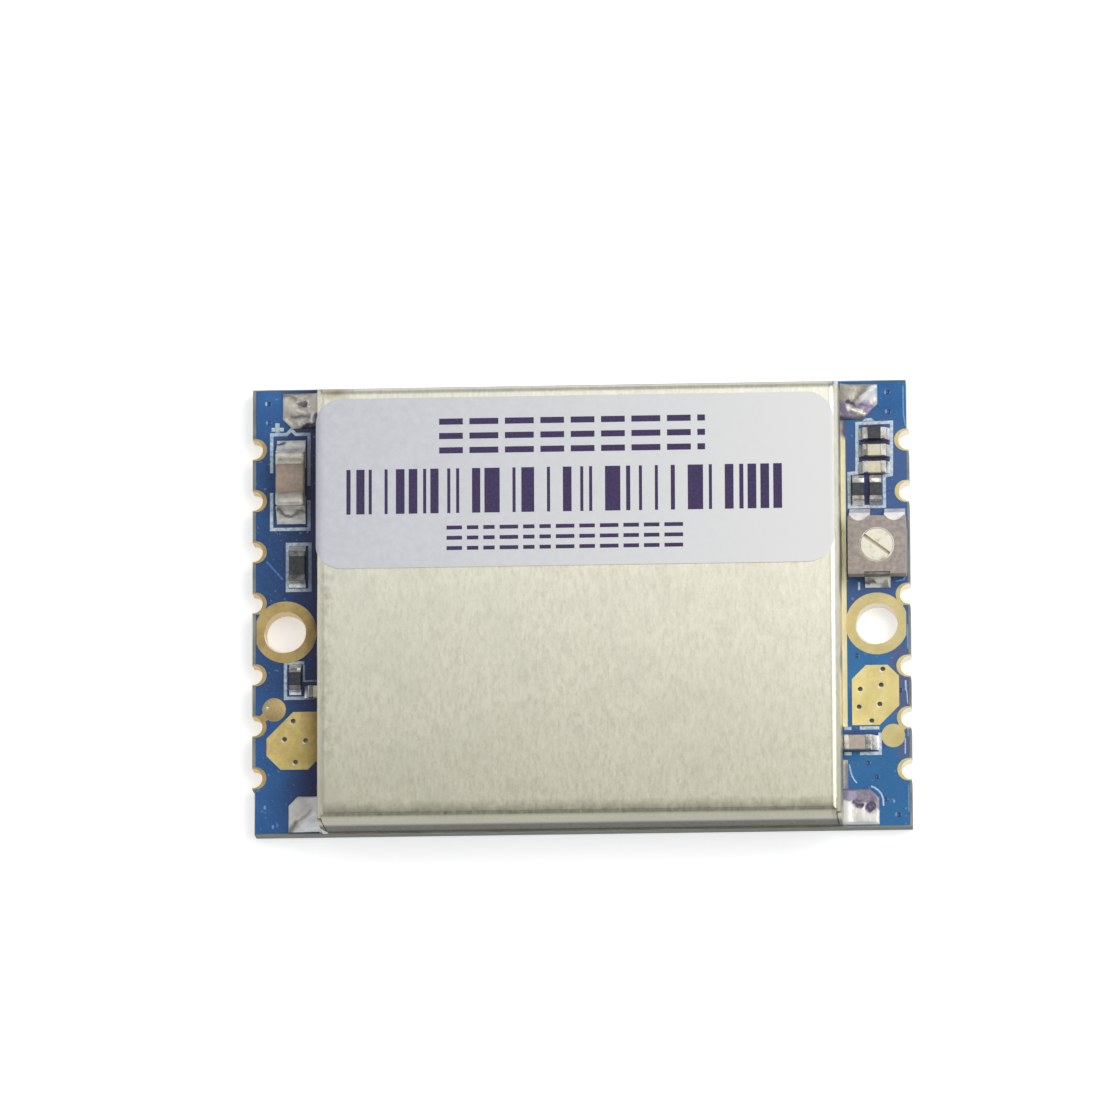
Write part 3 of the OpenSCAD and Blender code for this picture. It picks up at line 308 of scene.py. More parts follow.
def top_smudges_and_shade(s, base):
    """The can's top: smudges, and painted shade toward the front and along the front fold."""
    # painted shade, darker toward the front; smudged at two corners
    base = s.mix(s.along("Y", 6.0, CAN_FRONT), base, rgb(212, 212, 205), "MULTIPLY")
    base = s.mix(s.streak((-12.4, 10.9), (-11.6, 10.3), 0.1, 0.9, 0.5), base, rgb(186, 176, 152))
    base = s.mix(s.streak((-12.3, -9.4), (-11.7, -10.2), 0.1, 0.8, 0.4), base, rgb(196, 191, 174))
    # smears along the left fold
    smear = s.streak((CAN_LEFT + 0.5, 1.0), (CAN_LEFT + 0.5, -9.0), 0.02, 0.4, 0.5)
    smear = s.both(smear, s.grey(s.noise(1.8, 4.0), 0.0, 0.9, 0.42, 0.62))
    base = s.mix(smear, base, rgb(190, 185, 168))
    # a ragged painted shade along the front fold, on the level top alone
    line = s.uneven(s.axis("Y"), 2.2, 0.6)
    brink = s.grey(line, 1.0, 0.0, (CAN_FRONT + 0.36) * MM, (CAN_FRONT + 0.92) * MM)
    brink = s.both(brink, s.along("Z", CAN_TOP - 0.014, CAN_TOP - 0.002))
    return s.mix(brink, base, rgb(190, 190, 187), "MULTIPLY")


def wall_shade(s, base):
    """Painted shade low on the can's front wall and down its right wall, and a painted dimming of the
    highlight on its right fold.
    """
    # painted shade low on the front wall
    front = s.along("Y", CAN_FRONT + 0.02, CAN_FRONT + 0.01)
    base = s.mix(s.both(front, s.along("Z", 3.6, 2.9)), base, rgb(84, 83, 76))
    # painted dimming of the highlight on the right fold
    fold = s.both(
        s.along("X", CAN_RIGHT - 0.5, CAN_RIGHT - 0.4), s.along("X", CAN_RIGHT - 0.13, CAN_RIGHT - 0.24)
    )
    base = s.mix(fold, base, rgb(228, 229, 230), "MULTIPLY")
    # painted shade down the right wall
    right = s.along("X", CAN_RIGHT - 0.06, CAN_RIGHT - 0.02)
    return s.mix(s.both(right, s.along("Z", 4.5, 3.4)), base, rgb(190, 186, 173))


def can_sheet():
    """Brushed tin plate, its grain along Y."""
    s = Surface("can_sheet", Metallic=1.0, Roughness=0.4)
    fleck = s.noise(3.0, 4.0, 0.65, stretch=(2.4, 0.8, 1.0))
    speck = s.noise(9.0, 3.0, 0.65)
    base = s.ramp(
        fleck, [(0.27, rgb(224, 220, 199)), (0.5, rgb(237, 234, 215)), (0.73, rgb(246, 244, 229))]
    )
    base = s.mix(s.grey(speck, 0.0, 0.5, 0.5, 0.78), base, rgb(252, 251, 244))
    base = s.mix(s.grey(s.noise(0.5, 3.0), 0.0, 0.4, 0.45, 0.75), base, rgb(222, 220, 205))
    s.colour(wall_shade(s, top_smudges_and_shade(s, base)))
    s.rough(s.grey(fleck, 0.34, 0.46))
    s.bump(s.maths("ADD", s.maths("MULTIPLY", fleck, 0.5), speck), 0.24, 0.009)
    return s.material


def sticker():
    s = Surface("sticker", Roughness=0.42, Specular_IOR_Level=0.35)
    base = s.ramp(s.noise(3.0, 4.0), [(0.3, rgb(199, 201, 207)), (0.7, rgb(209, 211, 216))])
    # painted light: lighter toward the right end
    base = s.mix(s.along("X", -12.0, 12.0), base, rgb(230, 230, 228))
    # pale where it is cut: painted light on the cut edges that face front and back
    s.colour(s.mix(s.facing("Y"), base, rgb(255, 255, 252)))
    s.bump(s.noise(0.9, 3.0), 0.12, 0.02)
    return s.material


def ink(name, colour):
    """A matt coat of one colour, lighter here and there."""
    s = Surface(name, Roughness=0.5, Specular_IOR_Level=0.25)
    lighter = tuple(min(1.0, c * 1.5 + 0.01) for c in colour[:3]) + (1.0,)
    s.colour(s.ramp(s.noise(9.0, 3.0), [(0.35, colour), (0.75, lighter)]))
    return s.material


def print_white():
    s = Surface("print_white", Roughness=0.55)
    base = s.ramp(s.noise(6.0, 3.0), [(0.3, rgb(150, 178, 205)), (0.6, rgb(214, 226, 232))])
    # painted shadow of the can along its left wall
    can_shadow = s.both(s.along("X", CAN_LEFT - 1.3, CAN_LEFT - 0.4), s.along("X", 6.0, 0.0))
    s.colour(s.mix(can_shadow, base, rgb(104, 102, 140)))
    return s.material


def solder(name, light, dark, rough=0.3, lumps=1.6, shade=None, zones=()):
    """Solder or tin plate with zones of painted highlight; shade is painted shade that darkens what lies
    at the left end.
    """
    s = Surface(name, Metallic=0.75, Roughness=rough)
    cloud = s.noise(lumps, 4.0)
    base = s.ramp(cloud, [(0.34, dark), (0.58, light)])
    if shade:
        base = s.mix(s.along("X", 0.0, -4.0), base, shade, "MULTIPLY")
    s.colour(s.zoned(base, zones))
    s.rough(s.grey(s.noise(9.0, 3.0), rough - 0.1, rough + 0.2))
    s.bump(cloud, 0.4, 0.04)
    return s.material


def joint(name, light, dark, zones, gable=None):
    """Dull solder with zones of stain, painted highlight and painted shade, and pale in front of a gable,
    partly a painted highlight.
    """
    s = Surface(name, Metallic=0.35, Roughness=0.42)
    base = s.zoned(s.ramp(s.noise(1.6, 3.0), [(0.35, dark), (0.62, light)]), zones)
    if gable:
        base = s.mix(s.wedge(*gable), base, rgb(232, 234, 236))
    grain = s.noise(7.0, 3.0)
    s.colour(s.mix(s.grey(grain, 0.0, 0.35, 0.5, 0.8), base, dark))
    s.rough(s.grey(grain, 0.36, 0.5))
    s.bump(s.noise(2.4, 2.0), 0.2, 0.02)
    return s.material


def ceramic(name, light, dark, rough=0.55, spec=0.4):
    """Fired or moulded bodies: two shades and a fine grain."""
    s = Surface(name, Roughness=rough, Specular_IOR_Level=spec)
    grain = s.noise(5.0, 4.0)
    s.colour(s.ramp(grain, [(0.3, dark), (0.7, light)]))
    s.bump(grain, 0.25, 0.015)
    return s.material


def rotor_face():
    """Cream plastic of the rotor, spotted."""
    s = Surface("rotor_face", Roughness=0.5)
    face = s.ramp(
        s.noise(3.4, 3.0),
        [(0.28, rgb(212, 203, 168)), (0.42, rgb(240, 236, 216)), (0.8, rgb(248, 245, 230))],
    )
    # dirt in the slot and down the side
    s.colour(s.mix(s.along("Z", ROTOR_TOP - 0.02, ROTOR_TOP - 0.05), face, rgb(232, 224, 202)))
    s.bump(s.noise(6.0, 2.0), 0.15, 0.01)
    return s.material


MASK = mask_lacquer("mask_lacquer", True)
UNDER_MASK = mask_lacquer("under_lacquer", False)
LAMINATE = laminate()
VIA = closed_via()
PRINT = print_white()
# painted highlights on the lacquer's edges and flecks, and brighter ones for its shine and glint
PALE_HIGHLIGHT = ink("pale_lacquer_highlight", rgb(104, 144, 192))
BRIGHT_HIGHLIGHT = ink("bright_lacquer_highlight", rgb(168, 188, 212))
TRACE = ink("lacquered_trace", rgb(72, 112, 168))

# Colours of upright gold walls: painted light in the open holes, painted shade in the vias of the ground
# lands
LIT_WALL_PAINT, SHADED_WALL_PAINT = rgb(255, 246, 226), rgb(60, 46, 24)
# Left end's gold: darker than the right's as painted shade, with painted light on its hole walls and the
# can's painted shadow beside its left wall
GOLD_LEFT = gold(
    "gold_left", rgb(196, 172, 117), rgb(167, 142, 91), wall=rgb(238, 210, 148),
    zones=[((-12.75, -2.2), (-12.75, 0.2), 0.1, 0.75, rgb(112, 92, 66))],
)
# painted light on the walls of the right mounting hole and of the right half holes
GOLD_RIGHT = gold("gold_right", rgb(206, 192, 141), rgb(190, 174, 121), wall=LIT_WALL_PAINT)
EDGE_RIGHT = gold("edge_right", rgb(210, 196, 144), rgb(194, 178, 124), wall=LIT_WALL_PAINT)
# painted shadow of the can along the land's right side, and painted shade in its vias
GROUND_LEFT = gold(
    "ground_left", rgb(226, 204, 136), rgb(192, 168, 102), wall=SHADED_WALL_PAINT,
    zones=[((-12.5, -10.0), (-12.5, 3.0), 0.15, 1.2, rgb(114, 92, 52))],
)
# painted shade in the vias
GROUND_RIGHT = gold("ground_right", rgb(224, 210, 148), rgb(206, 188, 124), wall=SHADED_WALL_PAINT)
# painted shadow of the back right joint on the strip, and a greyer stretch at its front right end
CAN_LAND = gold(
    "can_land", rgb(211, 202, 166), rgb(197, 188, 150),
    zones=[
        ((13.0, 9.3), (13.0, 8.5), 0.2, 0.5, rgb(92, 84, 108)),
        ((12.95, -8.1), (12.95, -11.0), 0.1, 0.5, rgb(118, 118, 130)),
    ],
)
GOLD_DOME = gold("gold_dome", rgb(190, 168, 120), rgb(170, 146, 98), 0.3)
WIRE = gold("copper_wire", rgb(196, 120, 76), rgb(160, 92, 56), 0.3)
GLINT = ink("hole_glint", rgb(250, 236, 204))

CAN = can_sheet()
STICKER = sticker()
INK = ink("sticker_ink", rgb(58, 46, 84))

SOLDER = solder("solder", rgb(240, 240, 240), rgb(160, 156, 158))
BEAD = solder("bead", rgb(250, 248, 244), rgb(226, 222, 214), 0.2)
TIN = solder("tin", rgb(208, 205, 192), rgb(168, 165, 152), 0.4, 2.0)
SUPPLY_TIN = solder("supply_tin", rgb(222, 219, 206), rgb(186, 183, 170), 0.4, 2.0)
TERMINAL = solder("terminal", rgb(168, 165, 158), rgb(104, 102, 98), 0.35, 2.0)
# Chip ends: painted shade on those at the left end, and painted highlights on their solder
CHIP_TIN = solder(
    "chip_tin", rgb(214, 211, 202), rgb(122, 120, 120), 0.3, 1.7, rgb(176, 176, 180),
    [
        ((14.95, 7.75), (15.03, 7.6), 0.06, 0.14, rgb(255, 255, 255)),
        ((13.62, 6.12), (13.8, 6.0), 0.08, 0.2, rgb(254, 252, 248)),
        ((14.35, 6.02), (14.5, 5.95), 0.06, 0.18, rgb(252, 249, 242)),
        ((14.6, 4.92), (14.66, 4.84), 0.05, 0.14, rgb(255, 255, 255)),
        ((14.15, -6.5), (14.3, -7.15), 0.08, 0.2, rgb(255, 255, 255)),
        ((-13.69, -2.75), (-13.66, -2.95), 0.04, 0.12, rgb(250, 250, 250)),
    ],
)
# Solder of the joints: zones of stain, painted highlights and painted shade
SUPPLY_SOLDER = joint(
    "supply_solder", rgb(238, 237, 230), rgb(192, 190, 184),
    [
        ((-14.75, 8.2), (-14.4, 8.24), 0.02, 0.14, rgb(96, 92, 112)),
        ((-14.25, 8.22), (-13.6, 8.2), 0.04, 0.16, rgb(252, 252, 250)),
        ((-14.71, 4.9), (-14.14, 4.62), 0.02, 0.12, rgb(116, 112, 106)),
        ((-14.14, 4.62), (-13.49, 4.88), 0.02, 0.12, rgb(132, 128, 120)),
        ((-14.6, 4.45), (-13.6, 4.4), 0.02, 0.14, rgb(236, 234, 228)),
    ],
)
TRIMMER_SOLDER = joint(
    "trimmer_solder", rgb(246, 245, 245), rgb(216, 212, 214),
    [
        ((14.0, 0.5), (14.9, 0.5), 0.4, 0.7, rgb(160, 159, 152)),
        ((13.9, 0.96), (14.4, 0.93), 0.03, 0.12, rgb(104, 102, 94)),
        ((13.73, 0.78), (14.5, 0.8), 0.03, 0.14, rgb(240, 240, 234)),
        ((14.45, 0.98), (14.94, 1.16), 0.02, 0.12, rgb(234, 234, 228)),
        ((15.0, 1.1), (15.02, 0.8), 0.02, 0.1, rgb(246, 246, 242)),
    ],
)
# the darkest zones at its front right: painted shadow of the can
JOINT_BACK_LEFT = joint(
    "joint_back_left", rgb(206, 200, 190), rgb(178, 170, 160),
    [
        ((-14.4, 10.92), (-12.6, 10.92), 0.08, 0.3, rgb(128, 120, 110)),
        ((-14.46, 10.73), (-13.88, 10.48), 0.06, 0.16, rgb(146, 134, 116)),
        ((-14.3, 10.34), (-13.54, 9.64), 0.14, 0.34, rgb(218, 213, 204)),
        ((-13.66, 10.23), (-13.35, 10.19), 0.07, 0.18, rgb(106, 96, 118)),
        ((-13.29, 10.38), (-13.24, 9.86), 0.0, 0.11, rgb(236, 233, 228)),
        ((-13.1, 9.85), (-13.04, 9.29), 0.0, 0.11, rgb(234, 230, 226)),
        ((-14.05, 9.6), (-13.2, 9.63), 0.0, 0.12, rgb(134, 124, 132)),
        ((-14.3, 9.43), (-13.97, 9.05), 0.08, 0.18, rgb(228, 224, 214)),
        ((-13.66, 9.27), (-13.54, 9.33), 0.06, 0.14, rgb(224, 220, 216)),
        ((-12.85, 9.6), (-12.7, 9.0), 0.1, 0.2, rgb(84, 74, 96)),
        ((-13.5, 9.08), (-12.7, 9.16), 0.12, 0.26, rgb(62, 52, 76)),
    ],
)
# white zones: painted highlights on the cone of solder; violet zones below it: painted shade
JOINT_BACK_RIGHT = joint(
    "joint_back_right", rgb(182, 176, 162), rgb(152, 146, 138),
    [
        ((12.8, 10.92), (14.4, 10.92), 0.06, 0.16, rgb(118, 122, 138)),
        ((12.81, 9.6), (13.17, 9.16), 0.16, 0.34, rgb(124, 114, 138)),
        ((12.8, 8.98), (13.96, 9.12), 0.06, 0.2, rgb(130, 122, 136)),
        ((14.3, 10.38), (14.05, 10.02), 0.2, 0.36, rgb(250, 250, 250)),
        ((14.42, 10.66), (13.56, 9.9), 0.08, 0.18, rgb(252, 252, 252)),
        ((13.7, 9.7), (14.2, 9.66), 0.03, 0.3, rgb(128, 118, 160)),
        ((14.47, 10.5), (14.5, 9.79), 0.03, 0.08, rgb(226, 228, 226)),
        ((13.05, 9.88), (13.36, 9.77), 0.04, 0.12, rgb(80, 68, 106)),
        ((13.1, 9.62), (14.0, 9.25), 0.04, 0.17, rgb(240, 236, 228)),
    ],
)
# dark streaks: painted shade; the gable: a painted highlight on pale solder
JOINT_FRONT_LEFT = joint(
    "joint_front_left", rgb(220, 217, 211), rgb(198, 194, 188),
    [
        ((-13.84, -10.47), (-13.1, -9.88), 0.0, 0.13, rgb(164, 159, 150)),
        ((-14.15, -10.88), (-13.84, -10.47), 0.04, 0.2, rgb(138, 132, 126)),
    ],
    (-12.93, -9.96, 0.9, 0.05),
)
# dark zones in the pits: painted shade
JOINT_FRONT_RIGHT = joint(
    "joint_front_right", rgb(220, 218, 212), rgb(208, 206, 200),
    [
        ((12.9, -9.35), (14.2, -9.4), 0.38, 0.5, rgb(130, 123, 144)),
        ((14.3, -9.5), (14.44, -10.1), 0.05, 0.13, rgb(138, 132, 150)),
        ((13.22, -9.86), (13.55, -9.96), 0.07, 0.14, rgb(90, 76, 106)),
        ((13.95, -10.06), (14.01, -10.06), 0.22, 0.3, rgb(80, 66, 102)),
    ],
)

SUPPLY = ceramic("supply_ceramic", rgb(182, 163, 148), rgb(160, 143, 130))
CREAM = ceramic("cream_ceramic", rgb(232, 226, 200), rgb(214, 206, 176))
GREY_CERAMIC = ceramic("grey_ceramic", rgb(196, 186, 172), rgb(176, 166, 154))
GLAZE = ceramic("resistor_glaze", rgb(70, 72, 80), rgb(40, 40, 48), 0.35, 0.5)
HOUSING = ceramic("trimmer_housing", rgb(184, 172, 162), rgb(150, 140, 135), 0.6, 0.3)
PACKAGE = ceramic("package_plastic", rgb(46, 46, 48), rgb(32, 32, 34), 0.55, 0.3)
FERRITE = ceramic("ferrite", rgb(70, 68, 68), rgb(50, 48, 48), 0.6, 0.3)
TRACK = ceramic("carbon_track", rgb(44, 44, 46), rgb(30, 30, 32), 0.6, 0.3)
ROTOR = rotor_face()

LOOKS = {
    "circuit_board": LAMINATE,
    "solder_mask_top": MASK,
    "solder_mask_bottom": UNDER_MASK,
    "castellations_left": GOLD_LEFT,
    "mounting_land_left": GOLD_LEFT,
    "test_land_left": GOLD_LEFT,
    "ground_land_left": GROUND_LEFT,
    "castellations_right": EDGE_RIGHT,
    "mounting_land_right": GOLD_RIGHT,
    "test_land_right": GOLD_RIGHT,
    "ground_land_right": GROUND_RIGHT,
    "shield_land": CAN_LAND,
    "component_lands": TIN,
    "shield_can": CAN,
    "label": STICKER,
    "supply_capacitor": SUPPLY,
    "supply_capacitor_solder": SUPPLY_SOLDER,
    "edge_capacitors": CREAM,
    "edge_resistors": GLAZE,
    "signal_chip": GREY_CERAMIC,
    "edge_chip_ends": CHIP_TIN,
    "edge_chip_solder": SOLDER,
    "trimmer_housing": HOUSING,
    "trimmer_substrate": CREAM,
    "trimmer_track": TRACK,
    "trimmer_terminals": TERMINAL,
    "trimmer_solder": TRIMMER_SOLDER,
    "trimmer_rotor": ROTOR,
    "trimmer_wiper": WIRE,
    "power_amplifier": PACKAGE,
    "power_amplifier_pads": TIN,
    "driver_amplifier": PACKAGE,
    "driver_amplifier_leads": TIN,
    "bias_regulator": PACKAGE,
    "bias_regulator_leads": TIN,
    "choke_core": FERRITE,
    "choke_winding": WIRE,
    "inner_capacitors": SUPPLY,
    "inner_resistors": GLAZE,
    "inner_inductors": CREAM,
    "inner_chip_ends": TIN,
    "inner_chip_solder": SOLDER,
}
for name, look in LOOKS.items():
    nodes[name].data.materials.clear()
    nodes[name].data.materials.append(look)

# Small rounding on pieces that have no sharp edges
ROUNDED = {
    "edge_chip_ends": 0.04,
    "trimmer_housing": 0.03,
    "trimmer_terminals": 0.03,
}
for name, width in ROUNDED.items():
    weld = nodes[name].modifiers.new("weld", "WELD")
    weld.merge_threshold = 1e-7
    bevel = nodes[name].modifiers.new("round", "BEVEL")
    bevel.width = width * MM
    bevel.segments = 3
    bevel.limit_method = "ANGLE"
    bevel.angle_limit = math.radians(50)


# Pieces that are too thin or too irregular for the CAD model


def placed(name, mesh, look, smooth, body):
    """An object of a mesh that rides on a body."""
    mesh.materials.append(look)
    if smooth:
        mesh.shade_smooth()
    obj = bpy.data.objects.new(name, mesh)
    bpy.context.scene.collection.objects.link(obj)
    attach(obj, body)
    return obj


def piece(name, verts, faces, look, smooth=False, body="module"):
    mesh = bpy.data.meshes.new(name)
    mesh.from_pydata([(x * MM, y * MM, z * MM) for x, y, z in verts], [], faces)
    mesh.update()
    return placed(name, mesh, look, smooth, body)


class Flat:
    """Thin flat shapes on one face, gathered into one piece."""

    def __init__(self, z, thick):
        self.verts, self.faces = [], []
        self.z, self.thick = z, thick

    def polygon(self, points):
        n, k = len(points), len(self.verts)
        for z in (self.z, self.z + self.thick):
            self.verts += [(x, y, z) for x, y in points]
        self.faces.append([k + n + i for i in range(n)])
        self.faces.append([k + i for i in reversed(range(n))])
        for i in range(n):
            j = (i + 1) % n
            self.faces.append([k + i, k + j, k + n + j, k + n + i])

    def box(self, x0, y0, x1, y1):
        self.polygon([(x0, y0), (x1, y0), (x1, y1), (x0, y1)])

    def line(self, points, width, closed=False):
        """A line of that width through the points, with mitred corners."""
        path = [Vector(p) for p in points]
        n = len(path)
        sharpest = 0.4
        left, right = [], []
        for i, p in enumerate(path):
            before = (p - path[i - 1]).normalized() if i or closed else None
            after = (path[(i + 1) % n] - p).normalized() if i + 1 < n or closed else None
            way = ((before or after) + (after or before)).normalized()
            side = Vector((-way.y, way.x))
            first = before or after
            grow = 1 / max(sharpest, abs(side.dot(Vector((-first.y, first.x)))))
            left.append(p + side * width / 2 * grow)
            right.append(p - side * width / 2 * grow)
        for i in range(n if closed else n - 1):
            j = (i + 1) % n
            self.polygon([tuple(right[i]), tuple(right[j]), tuple(left[j]), tuple(left[i])])

    def crescent(self, x, y, r, start, end, width):
        """A thin moon along the rim of a hole, between two angles in degrees."""
        steps, tip = 16, 0.01
        inner, outer = [], []
        for i in range(steps + 1):
            t = math.radians(start + (end - start) * i / steps)
            away = r + tip + width * math.sin(math.pi * i / steps)
            inner.append((x + r * math.cos(t), y + r * math.sin(t)))
            outer.append((x + away * math.cos(t), y + away * math.sin(t)))
        for i in range(steps):
            self.polygon([inner[i], outer[i], outer[i + 1], inner[i + 1]])

    def done(self, name, look):
        piece(name, self.verts, self.faces, look)


def lines(name, look, strokes):
    """Lines on the lacquer: each is its width and its points."""
    flat = Flat(MASK_TOP, RELIEF_T)
    for width, points in strokes:
        flat.line(points, width)
    flat.done(name, look)


def ring(x, y, z, r, steps, tall=1.0):
    """Points round a circle, drawn out along Y."""
    turns = [2 * math.pi * i / steps for i in range(steps)]
    return [(x + r * math.cos(t), y + tall * r * math.sin(t), z) for t in turns]


def band(first, second, steps):
    """Faces between two rings, given the number of the first point of each."""
    ends = [(i, (i + 1) % steps) for i in range(steps)]
    return [[first + i, second + i, second + j, first + j] for i, j in ends]


# White outlines round the chips: width, points, and whether the line closes
PRINT_W = 0.16
OUTLINES = [
    # the supply capacitor, with a notch and a mark at its back
    (
        PRINT_W,
        [
            (-15.07, 6.86), (-15.07, 8.77), (-14.34, 8.77), (-14.12, 9.0), (-13.88, 8.77),
            (-13.24, 8.77), (-13.24, 6.2),
        ],
        False,
    ),
    (PRINT_W, [(-15.07, 5.87), (-15.07, 4.06), (-13.24, 4.06), (-13.24, 5.5)], False),
    (0.2, [(-14.79, 9.34), (-14.79, 8.87)], False),
    (0.19, [(-15.08, 9.02), (-14.9, 9.02)], False),
    (0.19, [(-14.68, 9.02), (-14.48, 9.02)], False),
    # the chips on the left end
    (PRINT_W, [(-14.29, 1.03), (-14.29, 3.31), (-13.19, 3.31), (-13.19, 1.03)], True),
    (PRINT_W, [(-13.47, -2.56), (-14.38, -2.56), (-14.38, -4.3), (-12.8, -4.3)], False),
    (0.1, [(-13.48, -2.66), (-13.48, -3.46), (-12.8, -3.46)], False),
    # the cluster of chips on the right end
    (
        PRINT_W,
        [
            (13.5, 8.86), (15.18, 8.9), (15.15, 6.3), (14.8, 6.24), (14.8, 4.74), (13.1, 4.73),
            (13.09, 6.38), (13.48, 6.42),
        ],
        True,
    ),
    # the signal chip on the right end
    (PRINT_W, [(12.75, -6.18), (13.1, -6.18)], False),
    (PRINT_W, [(12.75, -7.42), (13.1, -7.42)], False),
    (PRINT_W, [(13.5, -6.17), (14.45, -6.17)], False),
    (PRINT_W, [(14.48, -6.4), (14.48, -7.42), (13.5, -7.42)], False),
    # in front of the trimmer
    (0.1, [(13.53, 1.01), (13.53, 0.62)], False),
]
silk = Flat(MASK_TOP, RELIEF_T)
for width, points, closed in OUTLINES:
    silk.line(points, width, closed)
# a blot behind the right cluster
silk.polygon([(13.76, 8.98), (14.34, 8.99), (14.2, 9.12), (13.9, 9.1)])
silk.done("board_print", PRINT)

# Painted highlights on the edges of the lacquer, a trace that shows through it, and its painted shine
RIM_W = 0.07
lines("lacquer_rim_highlights", PALE_HIGHLIGHT, [
    (RIM_W, [(15.76, 10.7), (15.76, 9.3), (15.86, 8.7)]),
    (RIM_W, [(15.86, -1.1), (15.86, -2.3)]),
    (RIM_W, [(15.84, -6.2), (15.84, -6.6)]),
    (0.05, [(15.84, -9.0), (15.84, -10.3)]),
    (RIM_W, [(15.87, 3.6), (15.88, 1.5), (15.7, 1.1), (15.3, 1.03)]),
])
lines("lacquered_trace", TRACE, [(0.11, [(-15.31, 2.47), (-14.5, 1.56)])])
lines("lacquer_shine", BRIGHT_HIGHLIGHT, [
    (RIM_W, [(12.98, -7.95), (13.03, -8.2), (13.1, -8.5), (13.22, -8.72), (13.34, -8.86)]),
    (0.085, [(14.02, -9.03), (14.2, -9.1), (14.38, -9.24), (14.52, -9.42), (14.6, -9.65), (14.62, -10.0)]),
    (0.08, [(15.74, -3.85), (15.75, -4.35)]),
    (0.05, [(15.79, -4.3), (15.83, -5.0)]),
    (0.06, [(15.7, -6.7), (15.69, -7.45)]),
])


# Small dimples where the lacquer closes a via, and painted highlight flecks beside them


def turned(name, profile, places, look, tall=1.0):
    """A profile of radius and height turned round each place on the lacquer, drawn out along Y."""
    steps = 20
    verts, faces = [], []
    for x, y in places:
        k = len(verts)
        for r, z in profile:
            verts += ring(x, y, MASK_TOP + z, r, steps, tall)
        for j in range(len(profile) - 1):
            faces += band(k + j * steps, k + (j + 1) * steps, steps)
        faces.append([k + i for i in range(steps)])
    piece(name, verts, faces, look, True)


DIMPLE = [(0.02, 0.002), (0.045, 0.004), (0.065, 0.012), (0.085, 0.01), (0.11, 0.001)]
FLECK = [(0.02, 0.012), (0.04, 0.01), (0.06, 0.001)]
FLECK_TALL = 1.7
CLOSED_VIAS = [
    (-15.2, 10.3), (-15.17, 9.38), (15.03, 10.39), (15.06, 9.43), (13.91, -7.89), (14.33, -8.56),
    (14.73, -9.66), (15.37, -10.44), (-14.75, 3.85), (13.4, -2.6), (15.5, -4.34),
]
FLECKS = [
    (-15.31, 9.36), (14.88, 10.4), (14.92, 9.44), (15.12, -9.78), (15.22, -10.42), (-15.38, -9.66),
    (-14.99, -10.62),
]
turned("closed_vias", DIMPLE, CLOSED_VIAS, VIA)
turned("lacquer_fleck_highlights", FLECK, FLECKS, PALE_HIGHLIGHT, FLECK_TALL)
turned("lacquer_glint", FLECK, [(-15.34, 10.31)], BRIGHT_HIGHLIGHT, FLECK_TALL)

# Painted highlights on the rims of the mounting holes and of the ground lands' vias, given as shares of
# the way from the middle of their land to its edges
VIAS = {
    "ground_land_left": [(0, 0.68), (-0.32, 0.05), (0.47, 0), (0.09, -0.74)],
    "ground_land_right": [
        (0.32, 0.86), (0.24, 0.33), (-0.65, 0.2), (-0.7, -0.39), (0.18, -0.31), (-0.17, -0.86),
    ],
}
GLINT_W = 0.08
glints = Flat(LAND_TOP, GLINT_T)
for mount in frame["record"]["mounts"]:
    if mount["kind"] == "bore":
        x, y = (c / MM for c in mount["pos_m"][:2])
        glints.crescent(x, y, mount["dims"]["r_mm"], 175, 275, GLINT_W)
for name, shares in VIAS.items():
    low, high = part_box(name)
    for across, along in shares:
        x = (low.x + high.x + across * (high.x - low.x)) / 2 / MM
        y = (low.y + high.y + along * (high.y - low.y)) / 2 / MM
        glints.crescent(x, y, VIA_R - 0.01, 180, 280, GLINT_W)
glints.done("hole_glints", GLINT)


# The trimmer's rotor and the left test pad


def skirt(name, node, room, look):
    """A narrow chamfer from a rotor's face down to the housing, over the running gap."""
    low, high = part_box(node)
    x, y = (low.x + high.x) / 2 / MM, (low.y + high.y) / 2 / MM
    foot, inner = HOUSING_TOP + 0.003, ROTOR_R - 0.02
    steps = 72
    profile = [(inner, ROTOR_TOP), (ROTOR_R, ROTOR_TOP), (ROTOR_R + room, foot), (inner, foot)]
    verts, faces = [], []
    for j, (r, z) in enumerate(profile):
        verts += ring(x, y, z, r, steps)
        faces += band((j + 1) % len(profile) * steps, j * steps, steps)
    piece(name, verts, faces, look, body="rotor")


def dome(name, x, y, r, h, look):
    """A low round cap of solder on a land."""
    rings, steps = 10, 40
    verts, faces = [(x, y, LAND_TOP + h)], []
    for j in range(1, rings + 1):
        share = j / rings
        verts += ring(x, y, LAND_TOP + h * (1 - share * share), r * share, steps)
    for i in range(steps):
        faces.append([0, 1 + i, 1 + (i + 1) % steps])
    for j in range(rings - 1):
        faces += band(1 + j * steps, 1 + (j + 1) * steps, steps)
    piece(name, verts, faces, look, True)


skirt("rotor_chamfer", "trimmer_rotor", room=0.045, look=ROTOR)
dome("test_pad_solder", -14.93, -4.86, r=0.55, h=0.035, look=GOLD_DOME)
dome("test_pad_bead", -15.24, -4.76, r=0.1, h=0.07, look=BEAD)

